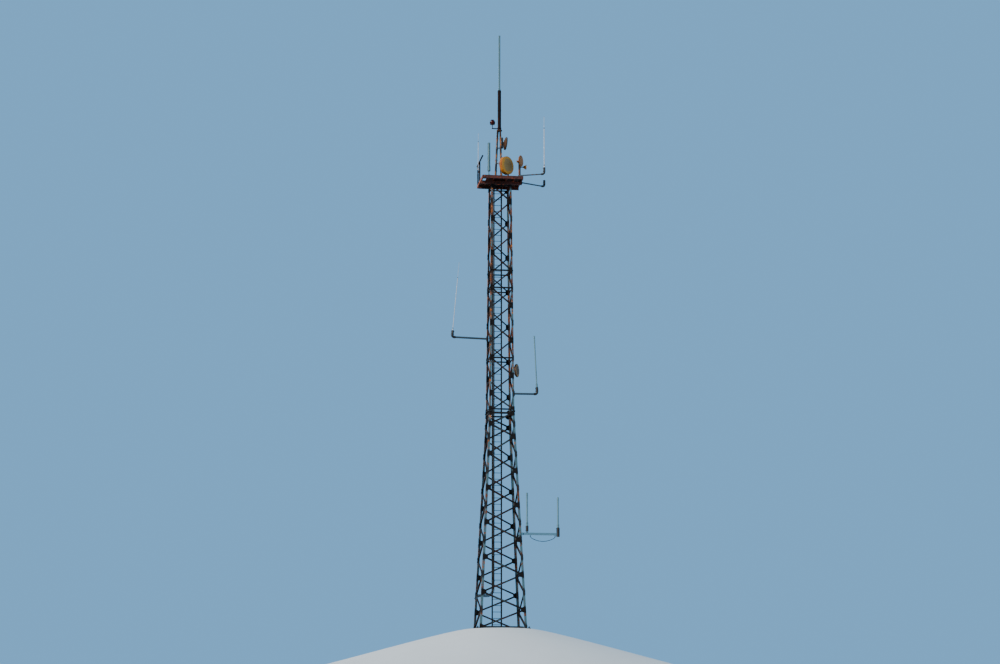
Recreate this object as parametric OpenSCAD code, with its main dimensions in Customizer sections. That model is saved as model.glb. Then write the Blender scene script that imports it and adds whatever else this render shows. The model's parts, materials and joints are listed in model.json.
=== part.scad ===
// Square lattice radio mast with a work platform, side arms, dishes and whip antennas
// Millimetres, +Z up, origin on the tower's axis at the underside of the base frame
// -Y is the front, with the ladder towards the back

/* [Tower] */
// Side of the tower at the ground, heel to heel
base_side = 2230; // [2000:10:2500]
// Side of the tower at the knuckle, where the taper changes
knuckle_side = 1210; // [1150:10:1350]
// Side of the tower under the platform
top_side = 1000; // [980:10:1080]
// Rise of one lower bay of bracing
lower_bay = 820; // [760:5:860]
// Rise of the two short bays under the knuckle
short_bay = 620; // [560:5:700]
// Rise of one upper bay of bracing
upper_bay = 862; // [820:2:900]

/* [Angles] */
// Width of the lower leg angles
lower_leg_w = 110; // [100:5:120]
// Thickness of the lower leg angles
lower_leg_t = 10; // [8:1:12]
// Width of the upper leg angles
upper_leg_w = 90; // [80:5:100]
// Thickness of the upper leg angles
upper_leg_t = 9; // [7:1:11]
// Width of the lower bracing angles
lower_bar_w = 70; // [50:5:80]
// Width of the upper bracing angles
upper_bar_w = 60; // [45:5:65]
// Thickness of the bracing angles
bar_t = 7; // [5:1:9]
// Thickness of the gusset plates
gusset_t = 8; // [6:1:12]

/* [Base] */
// Thickness of the base plates and their ties
base_t = 25; // [20:1:40]
// Side of each base plate
base_plate = 350; // [320:10:400]
// Width of the flat ties between the base plates
tie_w = 120; // [80:10:140]
// Diameter of the anchor bolt holes
anchor_d = 30; // [22:1:36]
// Distance between the anchor bolt holes
anchor_pitch = 250; // [230:5:260]

/* [Ladder] */
// Clear width of the ladder
ladder_w = 380; // [350:10:420]
// Distance between the rungs
rung_pitch = 300; // [280:5:320]
// Diameter of the rungs
rung_d = 22; // [18:1:26]
// Diameter of one feeder cable
cable_d = 28; // [20:1:30]

/* [Platform] */
// Side of the square platform
deck_side = 2000; // [1900:10:2200]
// Depth of the bearers on the legs
bearer_h = 150; // [120:10:180]
// Depth of the deck frame
frame_h = 140; // [120:10:160]
// Thickness of the deck plates
plate_t = 10; // [6:1:12]
// Height of the guard rail over the deck
rail_h = 1000; // [900:10:1100]

/* [Pole] */
// Outer diameter of the thick pole
pole_d = 165; // [120:5:180]
// Length of the thick pole
pole_h = 2040; // [1600:10:2400]
// Diameter of the rod antenna on the pole
rod_d = 90; // [60:1:100]
// Length of the rod antenna
rod_h = 2850; // [2400:10:3200]
// Height of the pole stand over the deck
stand_h = 2450; // [2300:10:2600]
// Distance of the stand's feet from the pole's axis
stand_r = 200; // [180:5:230]

/* [Dishes] */
// Diameter of the large dish
large_dish_d = 880; // [780:10:940]
// Depth of the large dish's rim drum
large_dish_rim = 180; // [120:5:220]
// Diameter of the upper dish
upper_dish_d = 620; // [520:10:660]
// Diameter of the dish on the right post
post_dish_d = 520; // [440:10:560]
// Diameter of the dish on the tower's right side
mid_dish_d = 620; // [540:10:660]

/* [Arms] */
// Diameter of the tubular arms
arm_d = 90; // [70:1:100]
// Reach of the middle left arm from the tower's axis
left_reach = 2250; // [1900:10:2500]
// Reach of the middle right arm from the tower's axis
right_reach = 1700; // [1500:10:2000]
// Reach of the lower right arm from the tower's axis
lower_reach = 2720; // [2500:10:2900]
// Diameter of the whip antenna on the platform
whip_d = 42; // [30:1:50]
// Diameter of the stout antennas on the lower arm
stout_d = 80; // [60:1:90]

/* [Hidden] */

// Running gap between pieces that seat on each other
gap = 0.3;
// Sides of a smooth round
round_fn = 48;
quarter_turns = [0:3];

// Heights
lower_bays = 11;
short_bays = 2;
upper_bays = 13;
foot_node = 60;
end_drop = 90;
top_drop = 70;
lower_levels = lower_bays + short_bays;
knuckle_z = foot_node + lower_bays * lower_bay + short_bays * short_bay;
top_z = knuckle_z + upper_bays * upper_bay;
lower_splice_level = 5;
upper_splice_level = 7;
ring_levels = [0, 3, 7, 8, 13];
lower_splice_z = foot_node + lower_splice_level * lower_bay;
upper_splice_z = knuckle_z + upper_splice_level * upper_bay;
flange_t = 20;

lower_tilt = atan((base_side - knuckle_side) / 2 / knuckle_z);
upper_tilt = atan((knuckle_side - top_side) / 2 / (top_z - knuckle_z));

function lower_half(z) = base_side / 2 - tan(lower_tilt) * z;
function upper_half(z) = knuckle_side / 2 - tan(upper_tilt) * (z - knuckle_z);
function lower_level(k) = k <= lower_bays
    ? foot_node + k * lower_bay
    : foot_node + lower_bays * lower_bay + (k - lower_bays) * short_bay - (k == lower_levels ? end_drop : 0);
function upper_level(k) = knuckle_z + k * upper_bay + (k == 0 ? end_drop : 0)
    - (k == upper_bays ? top_drop : 0);
function side_of(k) = k % 2 == 0 ? -1 : 1;

// Plain angle section with its heel at the origin
module angle_section(w, t) {
    polygon([[0, 0], [w, 0], [w, t], [t, t], [t, w], [0, w]]);
}

// One straight leg through the front left corner, cut level at both ends
module leg(z_base, half_base, tilt, z0, z1, w, t) {
    slope = tan(tilt);
    n = sqrt(1 + 2 * slope * slope);
    turn_x = -asin(slope / n);
    turn_y = asin(slope / (n * cos(turn_x)));
    spare = 200;
    intersection() {
        translate([-half_base, -half_base, z_base])
            rotate([turn_x, turn_y, 0])
                translate([0, 0, z0 - z_base - spare])
                    linear_extrude(z1 - z0 + 2 * spare + (z1 - z_base) * (n - 1))
                        angle_section(w, t);
        translate([-base_side, -base_side, z0])
            cube([base_side, base_side, z1 - z0]);
    }
}

module four_legs() {
    for (k = quarter_turns) rotate([0, 0, 90 * k]) children();
}

module bottom_legs() {
    color("saddlebrown") four_legs()
        leg(0, base_side / 2, lower_tilt, base_t, lower_splice_z, lower_leg_w, lower_leg_t);
}

module lower_legs() {
    top = knuckle_z - flange_t;
    color("saddlebrown") four_legs()
        leg(0, base_side / 2, lower_tilt, lower_splice_z + gap, top, lower_leg_w, lower_leg_t);
}

module upper_legs() {
    foot = knuckle_z + flange_t;
    color("peru") four_legs()
        leg(knuckle_z, knuckle_side / 2, upper_tilt, foot, upper_splice_z, upper_leg_w, upper_leg_t);
}

module top_legs() {
    color("peru") four_legs()
        leg(knuckle_z, knuckle_side / 2, upper_tilt, upper_splice_z + gap, top_z, upper_leg_w, upper_leg_t);
}

// Base frame
plate_mid = base_side / 2 - 30;
tie_upstand_h = 80;
tie_upstand_t = 8;

module base_frame() {
    p = base_plate / 2;
    t = tie_w / 2;
    m = plate_mid;
    quarter_out = [[m + t, m - p], [m + p, m - p], [m + p, m + p], [m - p, m + p], [m - p, m + t]];
    quarter_in = [[m - t, m - p], [m - p, m - p], [m - p, m - t]];
    outer = [for (k = quarter_turns, q = quarter_out) turned(q, 90 * k)];
    inner = [for (k = quarter_turns, q = quarter_in) turned(q, 90 * k)];
    color("dimgray") {
        difference() {
            linear_extrude(base_t) difference() {
                polygon(outer);
                polygon(inner);
            }
            for (k = quarter_turns, i = [-1, 1], j = [-1, 1])
                rotate([0, 0, 90 * k])
                    translate([m + i * anchor_pitch / 2, m + j * anchor_pitch / 2, -1])
                        cylinder(d = anchor_d, h = base_t + 2, $fn = round_fn);
        }
        for (k = quarter_turns)
            rotate([0, 0, 90 * k])
                translate([m + t - tie_upstand_t, p - m, base_t - gap])
                    cube([tie_upstand_t, 2 * (m - p), tie_upstand_h]);
    }
}

function turned(p, a) = [p.x * cos(a) - p.y * sin(a), p.x * sin(a) + p.y * cos(a)];

// Splices: an angle cleat inside each leg's heel
cleat_w = 75;
cleat_t = 10;
cleat_h = 480;

// Cleats inside the legs' heels from z0 up to z1
module heel_cleats(z_base, half, tilt, z0, z1, leg_t) {
    inset = leg_t + gap;
    four_legs()
        translate([inset, inset, 0])
            leg(z_base, half, tilt, z0, z1, cleat_w, cleat_t);
}

module splice(z, half, tilt, leg_t) {
    heel_cleats(z, half, tilt, z - cleat_h / 2, z + cleat_h / 2, leg_t);
}

module lower_splice() {
    color("dimgray") splice(lower_splice_z, lower_half(lower_splice_z), lower_tilt, lower_leg_t);
}

module upper_splice() {
    color("dimgray") splice(upper_splice_z, upper_half(upper_splice_z), upper_tilt, upper_leg_t);
}

// Knuckle joint: two flange plates a leg, with cleats inside the heel below and above
flange_side = 210;
flange_out = 38;
knuckle_cleat_h = 190;

module knuckle_joint() {
    edge = knuckle_side / 2 + flange_out;
    mid = flange_t / 2;
    low = knuckle_z - knuckle_cleat_h;
    high = knuckle_z + knuckle_cleat_h;
    color("dimgray") {
        four_legs() for (z = [knuckle_z - flange_t, knuckle_z + gap])
            translate([-edge, -edge, z]) cube([flange_side, flange_side, flange_t - gap]);
        heel_cleats(0, base_side / 2, lower_tilt, low, knuckle_z - mid, lower_leg_t);
        heel_cleats(knuckle_z, knuckle_side / 2, upper_tilt, knuckle_z + mid, high, upper_leg_t);
    }
}

// Bracing
gusset_edge = 10;

bar_face = 1.5 * gap;

// Puts a drawing on a side of the tower: x along the side, y up its slope, z outward
module on_side(turn, z, half, tilt) {
    rotate([0, 0, turn])
        translate([0, -half, z])
            rotate([90 - tilt, 0, 0])
                children();
}

// Puts its children on a side of the tower at height z, +x outward and +z up the slope
module on_leg(turn, x, z, half, tilt) {
    rotate([0, 0, turn])
        translate([x, -half, z])
            rotate([-tilt, 0, 0])
                rotate([0, 0, -90])
                    children();
}

// Angle bar lying along x, one flange in the plane and one standing inward
module angle_bar(l, w, t) {
    translate([0, -w / 2, gap - t]) cube([l, w, t - gap + bar_face]);
    translate([0, -w / 2, gap - w]) cube([l, t, w]);
}

// Angle bar from the node low to the node high, cut short at each end
module brace(low, high, w, low_trim, high_trim) {
    rising = low.x < high.x;
    left = rising ? low : high;
    run = rising ? high - low : low - high;
    translate([left.x, left.y, 0])
        rotate([0, 0, atan2(run.y, run.x)])
            translate([rising ? low_trim : high_trim, 0, 0])
                angle_bar(norm(run) - low_trim - high_trim, w, bar_t);
}

// Gusset plate on the leg at side s
module gusset(s, half, y, w, up, down) {
    e = half - gusset_edge;
    translate([0, 0, gap])
        linear_extrude(gusset_t)
            polygon([[s * e, y - down], [s * e, y + up], [s * (e - 0.6 * w), y + up],
                [s * (e - w), y + 0.5 * up], [s * (e - w), y - 0.5 * down], [s * (e - 0.6 * w), y - down]]);
}

// Horizontal angle between the two legs at height y
module ring_bar(half, y, leg_w, w) {
    l = 2 * (half - leg_w - 15);
    translate([-l / 2, y, 0]) angle_bar(l, w, ring_t);
}

lower_gusset_w = 235;
lower_gusset_h = 125;
upper_gusset_w = 185;
upper_gusset_h = 140;
end_gusset_h = 40;
ring_t = bar_t + 1;
lower_trim = 100;
foot_trim = 130;
upper_trim = 95;

module lower_side() {
    slope = cos(lower_tilt);
    function at(k) = [side_of(k) * (lower_half(lower_level(k)) - lower_leg_w / 2), lower_level(k) / slope];
    for (k = [0:lower_levels - 1])
        brace(at(k), at(k + 1), lower_bar_w, k == 0 ? foot_trim : lower_trim, lower_trim);
    for (k = [0:lower_levels]) {
        up = k == lower_levels ? end_gusset_h : lower_gusset_h;
        down = k == 0 ? foot_node - base_t - gusset_edge : lower_gusset_h;
        gusset(side_of(k), lower_half(lower_level(k)), at(k).y, lower_gusset_w, up, down);
    }
    top = lower_level(lower_levels);
    half = lower_half(top);
    ring_bar(half, top / slope, lower_leg_w, lower_bar_w);
    gusset(-side_of(lower_levels), half, top / slope, lower_gusset_w, end_gusset_h, lower_gusset_h);
}

module upper_side() {
    slope = cos(upper_tilt);
    function at(k) = [-side_of(k) * (upper_half(upper_level(k)) - upper_leg_w / 2),
        (upper_level(k) - knuckle_z) / slope];
    for (k = [0:upper_bays - 1]) brace(at(k), at(k + 1), upper_bar_w, upper_trim, upper_trim);
    for (k = [0:upper_bays]) {
        up = k == upper_bays ? end_gusset_h : upper_gusset_h;
        down = k == 0 ? end_gusset_h : upper_gusset_h;
        gusset(-side_of(k), upper_half(upper_level(k)), at(k).y, upper_gusset_w, up, down);
    }
    for (k = ring_levels) {
        ring_bar(upper_half(upper_level(k)), at(k).y, upper_leg_w, upper_bar_w);
        up = k == 0 ? upper_gusset_h : end_gusset_h;
        gusset(side_of(k), upper_half(upper_level(k)), at(k).y, upper_gusset_w, up, end_gusset_h);
    }
}

module lower_bracing(turn) {
    color("saddlebrown") on_side(turn, 0, base_side / 2, lower_tilt) lower_side();
}

module upper_bracing(turn) {
    color("peru") on_side(turn, knuckle_z, knuckle_side / 2, upper_tilt) upper_side();
}

module lower_front_bracing() { lower_bracing(0); }
module lower_right_bracing() { lower_bracing(90); }
module lower_back_bracing() { lower_bracing(180); }
module lower_left_bracing() { lower_bracing(270); }
module upper_front_bracing() { upper_bracing(0); }
module upper_right_bracing() { upper_bracing(90); }
module upper_back_bracing() { upper_bracing(180); }
module upper_left_bracing() { upper_bracing(270); }

// Ladder
ladder_x = -100;
ladder_y = 340;
string_w = 60;
string_t = 6;
ladder_foot = 120;
rung_start = 150;
bearer_top = top_z + bearer_h;
frame_top = bearer_top + frame_h;
deck_top = frame_top + plate_t;

module ladder() {
    left = ladder_x - ladder_w / 2;
    right = ladder_x + ladder_w / 2;
    rungs = floor((deck_top - ladder_foot - rung_start) / rung_pitch);
    color("slategray") {
        translate([left, ladder_y, ladder_foot]) mirror([1, 0, 0]) ladder_string();
        translate([right, ladder_y, ladder_foot]) ladder_string();
        for (z = [for (i = [0:rungs]) i * rung_pitch])
            translate([left - string_t / 2, ladder_y + string_w / 2, ladder_foot + rung_start + z])
                rotate([0, 90, 0])
                    cylinder(d = rung_d, h = ladder_w + string_t, $fn = 8);
    }
}

module ladder_string() {
    linear_extrude(deck_top - ladder_foot) angle_section(string_w, string_t);
}

// Stays from the ladder's strings back to the bracing of the back side
stay_bays = [1, 3, 5, 7, 9, 11];
stay_w = 50;
stay_t = 8;

module ladder_stay(x, z, back) {
    front = ladder_y + string_w + gap;
    translate([x - stay_t / 2, front, z - stay_w / 2]) cube([stay_t, back - front, stay_w]);
}

// Height at which the bar from xa at za to xb at zb passes x
function brace_z(za, xa, zb, xb, x) = za + (zb - za) * (x - xa) / (xb - xa);

module ladder_stays() {
    color("dimgray") for (sx = [-1, 1], k = stay_bays) {
        x = ladder_x + sx * (ladder_w / 2 + stay_t / 2);
        lower_xa = -side_of(k) * (lower_half(lower_level(k)) - lower_leg_w / 2);
        lower_xb = side_of(k) * (lower_half(lower_level(k + 1)) - lower_leg_w / 2);
        lower_z = brace_z(lower_level(k), lower_xa, lower_level(k + 1), lower_xb, x);
        ladder_stay(x, lower_z, lower_half(lower_z) - lower_bar_w - gap);
        upper_xa = side_of(k) * (upper_half(upper_level(k)) - upper_leg_w / 2);
        upper_xb = -side_of(k) * (upper_half(upper_level(k + 1)) - upper_leg_w / 2);
        upper_z = brace_z(upper_level(k), upper_xa, upper_level(k + 1), upper_xb, x);
        ladder_stay(x, upper_z, upper_half(upper_z) - upper_bar_w - gap);
    }
}

// Pole stand
stand_x = -84;
stand_y = -350;
stand_tube = 60;
stand_top_r = 90;
stand_turns = [180, 300, 60];
tie_heights = [780, 1560];
tie_d = 24;
collar_t = 20;
collar_r = 130;
foot_t = 12;
foot_l = 150;
foot_w = 120;
stand_lean = atan((stand_r - stand_top_r) / stand_h);

// Distance of the stand's legs from the pole's axis at height h
function stand_at(h) = stand_r - (stand_r - stand_top_r) * h / stand_h;

module stand_leg() {
    intersection() {
        translate([stand_r, 0, 0])
            rotate([0, -stand_lean, 0])
                translate([0, 0, -stand_tube])
                    cylinder(d = stand_tube, h = stand_h + 3 * stand_tube, $fn = round_fn);
        translate([-stand_r, -stand_r, foot_t / 2]) cube([3 * stand_r, 2 * stand_r, stand_h - foot_t]);
    }
    translate([stand_r - foot_l / 2, -foot_w / 2, 0]) cube([foot_l, foot_w, foot_t]);
}

module stand_tie(h) {
    r = stand_at(h);
    translate([r / 2, r * sqrt(3) / 2, h])
        rotate([90, 0, 0])
            cylinder(d = tie_d, h = r * sqrt(3), $fn = round_fn);
}

module pole_stand() {
    color("sienna") translate([stand_x, stand_y, deck_top + gap]) {
        for (a = stand_turns) {
            rotate([0, 0, a]) stand_leg();
            rotate([0, 0, a + 60]) for (h = tie_heights) stand_tie(h);
        }
        translate([0, 0, stand_h - collar_t]) cylinder(r = collar_r, h = collar_t, $fn = round_fn);
    }
}

// Feeder cables in front of the ladder's left string, up through the hatch to the stand and the rail
cable_count = 4;
cable_pitch = 34;
cable_x = -285;
cable_y = 316;
cable_bend = 260;
cable_exit_z = 1620;
cable_reach = 60;
cable_end_x = -round(lower_half(cable_exit_z)) - cable_reach;
cable_run_z = deck_top + cable_d / 2 + 2;
deck_bend = 120;
riser_y = stand_y + 65;
plug_d = 40;
plug_h = 50;

function cable_at(i) = cable_x + (i - (cable_count - 1) / 2) * cable_pitch;
function exit_at(i) = cable_exit_z - (i - (cable_count - 1) / 2) * cable_pitch;

// Quarter bend of a round bar from +x to +y about the origin
module quarter_bend(r, d) {
    rotate_extrude(angle = 90, $fn = 96) translate([r, 0]) circle(d = d, $fn = 24);
}

// Cable from its exit on the left side up to the height top
module cable_rise(i, top) {
    bend = cable_bend + i * cable_pitch;
    straight = cable_at(i) - bend - cable_end_x;
    translate([cable_at(i), cable_y, exit_at(i) + bend])
        cylinder(d = cable_d, h = top - exit_at(i) - bend, $fn = round_fn);
    translate([cable_at(i) - bend, cable_y, exit_at(i) + bend])
        rotate([90, 0, 0])
            rotate([0, 0, -90])
                quarter_bend(bend, cable_d);
    translate([cable_end_x, cable_y, exit_at(i)])
        rotate([0, 90, 0])
            cylinder(d = cable_d, h = straight, $fn = round_fn);
}

// Cable over the deck to the stand and up beside its leg to the collar
module stand_cable(i) {
    top_gap = 1;
    climb = (deck_top + stand_h - collar_t - top_gap - cable_run_z) / cos(stand_lean);
    cable_rise(i, cable_run_z - deck_bend);
    translate([cable_at(i), cable_y - deck_bend, cable_run_z - deck_bend])
        rotate([90, 0, 90])
            quarter_bend(deck_bend, cable_d);
    translate([cable_at(i), cable_y - deck_bend, cable_run_z])
        rotate([90, 0, 0])
            cylinder(d = cable_d, h = cable_y - riser_y - 2 * deck_bend, $fn = round_fn);
    translate([cable_at(i), 0, cable_run_z])
        rotate([0, stand_lean, 0]) {
            translate([0, riser_y + deck_bend, deck_bend])
                rotate([90, 0, 90])
                    rotate([0, 0, 180])
                        quarter_bend(deck_bend, cable_d);
            translate([0, riser_y, deck_bend])
                cylinder(d = cable_d, h = climb - deck_bend, $fn = round_fn);
        }
}

// Cable over the deck to the middle post of the rail
module rail_cable() {
    bend = cable_at(0) - hatch_x0;
    riser_x = rail_x + rail_t + cable_d / 2 + 4;
    cable_rise(0, cable_run_z - bend);
    translate([hatch_x0, cable_y, cable_run_z - bend])
        rotate([90, 0, 0])
            quarter_bend(bend, cable_d);
    translate([riser_x + deck_bend, cable_y, cable_run_z])
        rotate([0, 90, 0])
            cylinder(d = cable_d, h = hatch_x0 - riser_x - deck_bend, $fn = round_fn);
    translate([riser_x + deck_bend, cable_y, cable_run_z + deck_bend])
        rotate([90, 0, 0])
            rotate([0, 0, 180])
                quarter_bend(deck_bend, cable_d);
    translate([riser_x, cable_y, cable_run_z + deck_bend])
        cylinder(d = cable_d, h = rail_h / 2, $fn = round_fn);
    translate([riser_x, cable_y, cable_run_z + deck_bend + rail_h / 2 - plug_h])
        cylinder(d = plug_d, h = plug_h + 2, $fn = round_fn);
}

module feeder_cables() {
    color("#202020") {
        rail_cable();
        for (i = [1:cable_count - 1]) stand_cable(i);
    }
}

clamp_wall = 8;
clamp_h = 40;
clamp_heights = [2300, 3500, 4300, 5500, 6900, 8400, 9800, 11000, 12300, 13700, 15200, 16800, 18400,
    20000, 20800];

module cable_clamps() {
    in_w = (cable_count - 1) * cable_pitch + cable_d + 2 * gap;
    in_d = cable_d + 2 * gap;
    depth = ladder_y - gap - cable_y + cable_d / 2 + gap + clamp_wall;
    color("dimgray") for (z = clamp_heights)
        translate([cable_x, cable_y - cable_d / 2 - gap, z])
            difference() {
                translate([-in_w / 2 - clamp_wall, -clamp_wall, 0])
                    cube([in_w + 2 * clamp_wall, depth, clamp_h]);
                translate([-in_w / 2, 0, -1]) cube([in_w, in_d, clamp_h + 2]);
            }
}

// Rail along a side: packing plates on both legs, then whatever stands on them
packing_w = 90;
rail_seat = gap + gusset_t + gap;

module packing(half, leg_w, y, h) {
    for (s = [-1, 1])
        translate([s * (half - leg_w / 2) - packing_w / 2, y, gap])
            cube([packing_w, h, gusset_t + 2]);
}

// Bracket on the left side where the cables leave the tower
bracket_w = 60;
bracket_t = 8;

module bridge_bracket() {
    low = exit_at(cable_count - 1) - cable_d / 2 - gap;
    y = (low - (rail_seat + bracket_w) * sin(lower_tilt)) / cos(lower_tilt);
    half = lower_half(low);
    l = 2 * (half - gusset_edge);
    color("dimgray") on_side(270, 0, base_side / 2, lower_tilt) {
        packing(half, lower_leg_w, y - bracket_w, bracket_w);
        translate([-l / 2, y - bracket_w, rail_seat]) cube([l, bracket_w, bracket_t]);
        translate([-l / 2, y - bracket_t, rail_seat]) cube([l, bracket_t, bracket_w]);
    }
}

// Platform
bearer_w = 65;
bearer_t = 8;
frame_w = 55;
frame_t = 7;
hatch_x0 = -400;
hatch_x1 = 200;
hatch_y0 = -75;
hatch_y1 = 440;
joist_left = -670;
joist_right = 570;
plate_edge = 10;
plate_joint = 6;

// Channel along x with its web at y = 0 and its flanges towards +y
module channel(l, h, w, t) {
    cube([l, t, h]);
    cube([l, w, t]);
    translate([0, 0, h - t]) cube([l, w, t]);
}

module deck_bearers() {
    color("brown") for (a = [0, 180]) rotate([0, 0, a])
        translate([-deck_side / 2, -top_side / 2, top_z + gap])
            channel(deck_side, bearer_h - gap, bearer_w, bearer_t);
}

// Plan of the deck frame with members w wide
module frame_plan(w) {
    l = deck_side;
    difference() {
        square([l, l], center = true);
        square([l - 2 * w, l - 2 * w], center = true);
    }
    for (x = [hatch_x0 - w, hatch_x1, joist_left - w, joist_right])
        translate([x, -l / 2 + w / 2]) square([w, l - w]);
    for (y = [hatch_y0 - w, hatch_y1])
        translate([hatch_x0 - w / 2, y]) square([hatch_x1 - hatch_x0 + w, w]);
}

module deck_frame() {
    color("brown") translate([0, 0, bearer_top]) {
        linear_extrude(frame_h) frame_plan(frame_t);
        for (z = [0, frame_h - frame_t]) translate([0, 0, z]) linear_extrude(frame_t) frame_plan(frame_w);
    }
}

// One plate of the deck from corner a to corner b, with the window from corner c to corner d cut out
module deck_plate(a, b, c, d) {
    difference() {
        translate(a) square(b - a);
        translate(c) square(d - c);
    }
}

module deck_plates() {
    e = deck_side / 2 - plate_edge;
    j = plate_joint / 2;
    x0 = hatch_x0 - frame_w / 2;
    x1 = hatch_x1 + frame_w / 2;
    color("maroon") translate([0, 0, frame_top]) linear_extrude(plate_t) {
        deck_plate([-e, -e], [x0 - j, e], [-950, -350], [-700, 370]);
        deck_plate([x1 + j, -e], [e, e], [650, 50], [810, 550]);
        translate([x0 + j, -e]) square([x1 - x0 - 2 * j, hatch_y0 + e]);
        translate([x0 + j, hatch_y1]) square([x1 - x0 - 2 * j, e - hatch_y1]);
    }
}

// Guard rail on the left side only
rail_x = -deck_side / 2 + 10;
rail_w = 60;
rail_t = 6;
rail_posts = [295, 930];
rail_front = -930;

module guard_rail() {
    back = rail_posts[1] + rail_w;
    color("slategray") {
        for (y = rail_posts)
            translate([rail_x, y, deck_top + gap])
                linear_extrude(rail_h - gap)
                    angle_section(rail_w, rail_t);
        translate([rail_x - rail_t + 1, rail_front, deck_top + rail_h - rail_w])
            cube([rail_t, back - rail_front, rail_w]);
        translate([rail_x - rail_t + 1, rail_posts[0], deck_top + rail_h / 2])
            cube([rail_t, back - rail_posts[0], rail_w]);
    }
}

// Whip antenna l long and d wide, with a collar at its foot and a thinner tip
foot_collar_h = 90;
whip_taper = 0.85;
tip_share = 0.23;
tip_taper = 0.4;
slim_whip = 0.7 * whip_d;

module whip(l, d) {
    cylinder(d = 1.6 * d, h = foot_collar_h, $fn = round_fn);
    cylinder(d1 = d, d2 = whip_taper * d, h = (1 - tip_share) * l, $fn = round_fn);
    cylinder(d = tip_taper * d, h = l, $fn = round_fn);
}

rail_whip_z = 22420;
rail_whip_h = 1900;

module rail_whip() {
    x = rail_x - 45;
    y = rail_posts[0] + 25;
    color("white") {
        translate([x, y, rail_whip_z]) whip(rail_whip_h, slim_whip);
        for (z = [rail_whip_z + 20, rail_whip_z + 240])
            translate([x, y - 15, z]) cube([rail_x - gap - x, 30, 30]);
    }
}

// Pole, rod antenna and lamp
pole_z = deck_top + stand_h + 2 * gap;
cap_h = 30;
lamp_reach = 340;
lamp_d = 200;
lamp_arm_z = 80;
lamp_stem_h = 200;
lamp_base_h = 25;
lamp_body_h = 100;
ring_h = 60;

module main_pole() {
    color("#2b1d16") translate([stand_x, stand_y, pole_z]) {
        cylinder(r = collar_r, h = collar_t, $fn = round_fn);
        cylinder(d = pole_d, h = pole_h, $fn = round_fn);
    }
}

module top_antenna() {
    color("gray") translate([stand_x, stand_y, pole_z + pole_h + gap]) {
        cylinder(d = pole_d - 30, h = cap_h, $fn = round_fn);
        cylinder(d = rod_d, h = rod_h, $fn = round_fn);
    }
}

module lamp_bracket() {
    bar = 30;
    color("slategray") translate([stand_x, stand_y, pole_z + lamp_arm_z]) {
        difference() {
            union() {
                cylinder(d = pole_d + bar, h = ring_h, $fn = round_fn);
                translate([-lamp_reach - bar, -bar, 0]) cube([lamp_reach, 2 * bar, bar]);
            }
            translate([0, 0, -1]) cylinder(d = pole_d + 2 * gap, h = ring_h + 2, $fn = round_fn);
        }
        translate([-lamp_reach, 0, bar / 2]) cylinder(d = bar, h = lamp_stem_h, $fn = round_fn);
    }
}

module obstruction_lamp() {
    z = pole_z + lamp_arm_z + 15 + lamp_stem_h + gap;
    color("darkred") translate([stand_x - lamp_reach, stand_y, z]) {
        cylinder(d = 0.6 * lamp_d, h = lamp_base_h + 1, $fn = round_fn);
        translate([0, 0, lamp_base_h]) cylinder(d = lamp_d, h = lamp_body_h, $fn = round_fn);
        translate([0, 0, lamp_base_h + lamp_body_h]) sphere(d = lamp_d, $fn = round_fn);
    }
}

// Dishes
lip_w = 12;
lip_h = 8;
dish_fn = 96;

// Drum dish with its rim's centre at the origin, pointing along +x, and a boss l long behind it
module dish(d, depth, rim, boss_d, l) {
    r = d / 2;
    bowl = (r * r + depth * depth) / (2 * depth);
    rotate([0, 90, 0]) {
        intersection() {
            translate([0, 0, bowl - depth - rim]) sphere(r = bowl, $fn = dish_fn);
            translate([0, 0, -depth - rim - 1]) cylinder(r = r, h = depth + 1, $fn = dish_fn);
        }
        translate([0, 0, -rim - 1]) difference() {
            cylinder(r = r, h = rim + 1, $fn = dish_fn);
            translate([0, 0, rim + 1 - lip_h]) cylinder(r = r - lip_w, h = lip_h + 1, $fn = dish_fn);
        }
        translate([0, 0, -rim - depth - l]) cylinder(d = boss_d, h = l + depth / 2, $fn = round_fn);
    }
}

large_dish_pos = [270, -800, 22400];
large_dish_turn = -48;
large_dish_depth = 90;
boss_l = 25;
mount_t = 30;
mount_side = 352;
mount_back = 275;
mount_pipe = 76;

// Puts its children at the large dish's rim, turned as it is
module at_large_dish() {
    translate(large_dish_pos) rotate([0, 0, large_dish_turn]) children();
}

module large_dish() {
    color("goldenrod") at_large_dish() dish(large_dish_d, large_dish_depth, large_dish_rim, 150, boss_l);
}

module dish_mount() {
    back = large_dish_rim + large_dish_depth + boss_l + gap;
    foot_z = deck_top + gap - large_dish_pos.z;
    color("slategray") at_large_dish() {
        translate([-back - mount_t, -70, -60]) cube([mount_t, mount_side + 105, 120]);
        translate([-mount_back, mount_side, foot_z]) {
            cylinder(d = mount_pipe, h = 150 - foot_z, $fn = round_fn);
            cylinder(d = 180, h = foot_t, $fn = round_fn);
        }
    }
}

upper_dish_z = 23650;
upper_dish_turn = 4;
upper_dish_dip = 5;
upper_pipe_d = 76;
upper_pipe_h = 540;
upper_pipe_x = 147.7;
upper_clamp_h = 80;
upper_clamps = [[-230, 94.7], [150, 86.2]];

// Puts its children at the pipe that carries the upper dish
module at_upper_pipe() {
    translate([stand_x + upper_pipe_x, stand_y, upper_dish_z]) children();
}

module upper_dish() {
    saddle = 90;
    color("darkgoldenrod") at_upper_pipe() difference() {
        union() {
            translate([0, -saddle / 2, -saddle / 2]) cube([saddle / 2 + 8, saddle, saddle]);
            rotate([0, upper_dish_dip, upper_dish_turn])
                translate([195, 0, 0])
                    dish(upper_dish_d, 90, 50, 80, 15);
        }
        translate([0, 0, -saddle]) cylinder(d = upper_pipe_d + 2 * gap, h = 2 * saddle, $fn = round_fn);
    }
}

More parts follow.
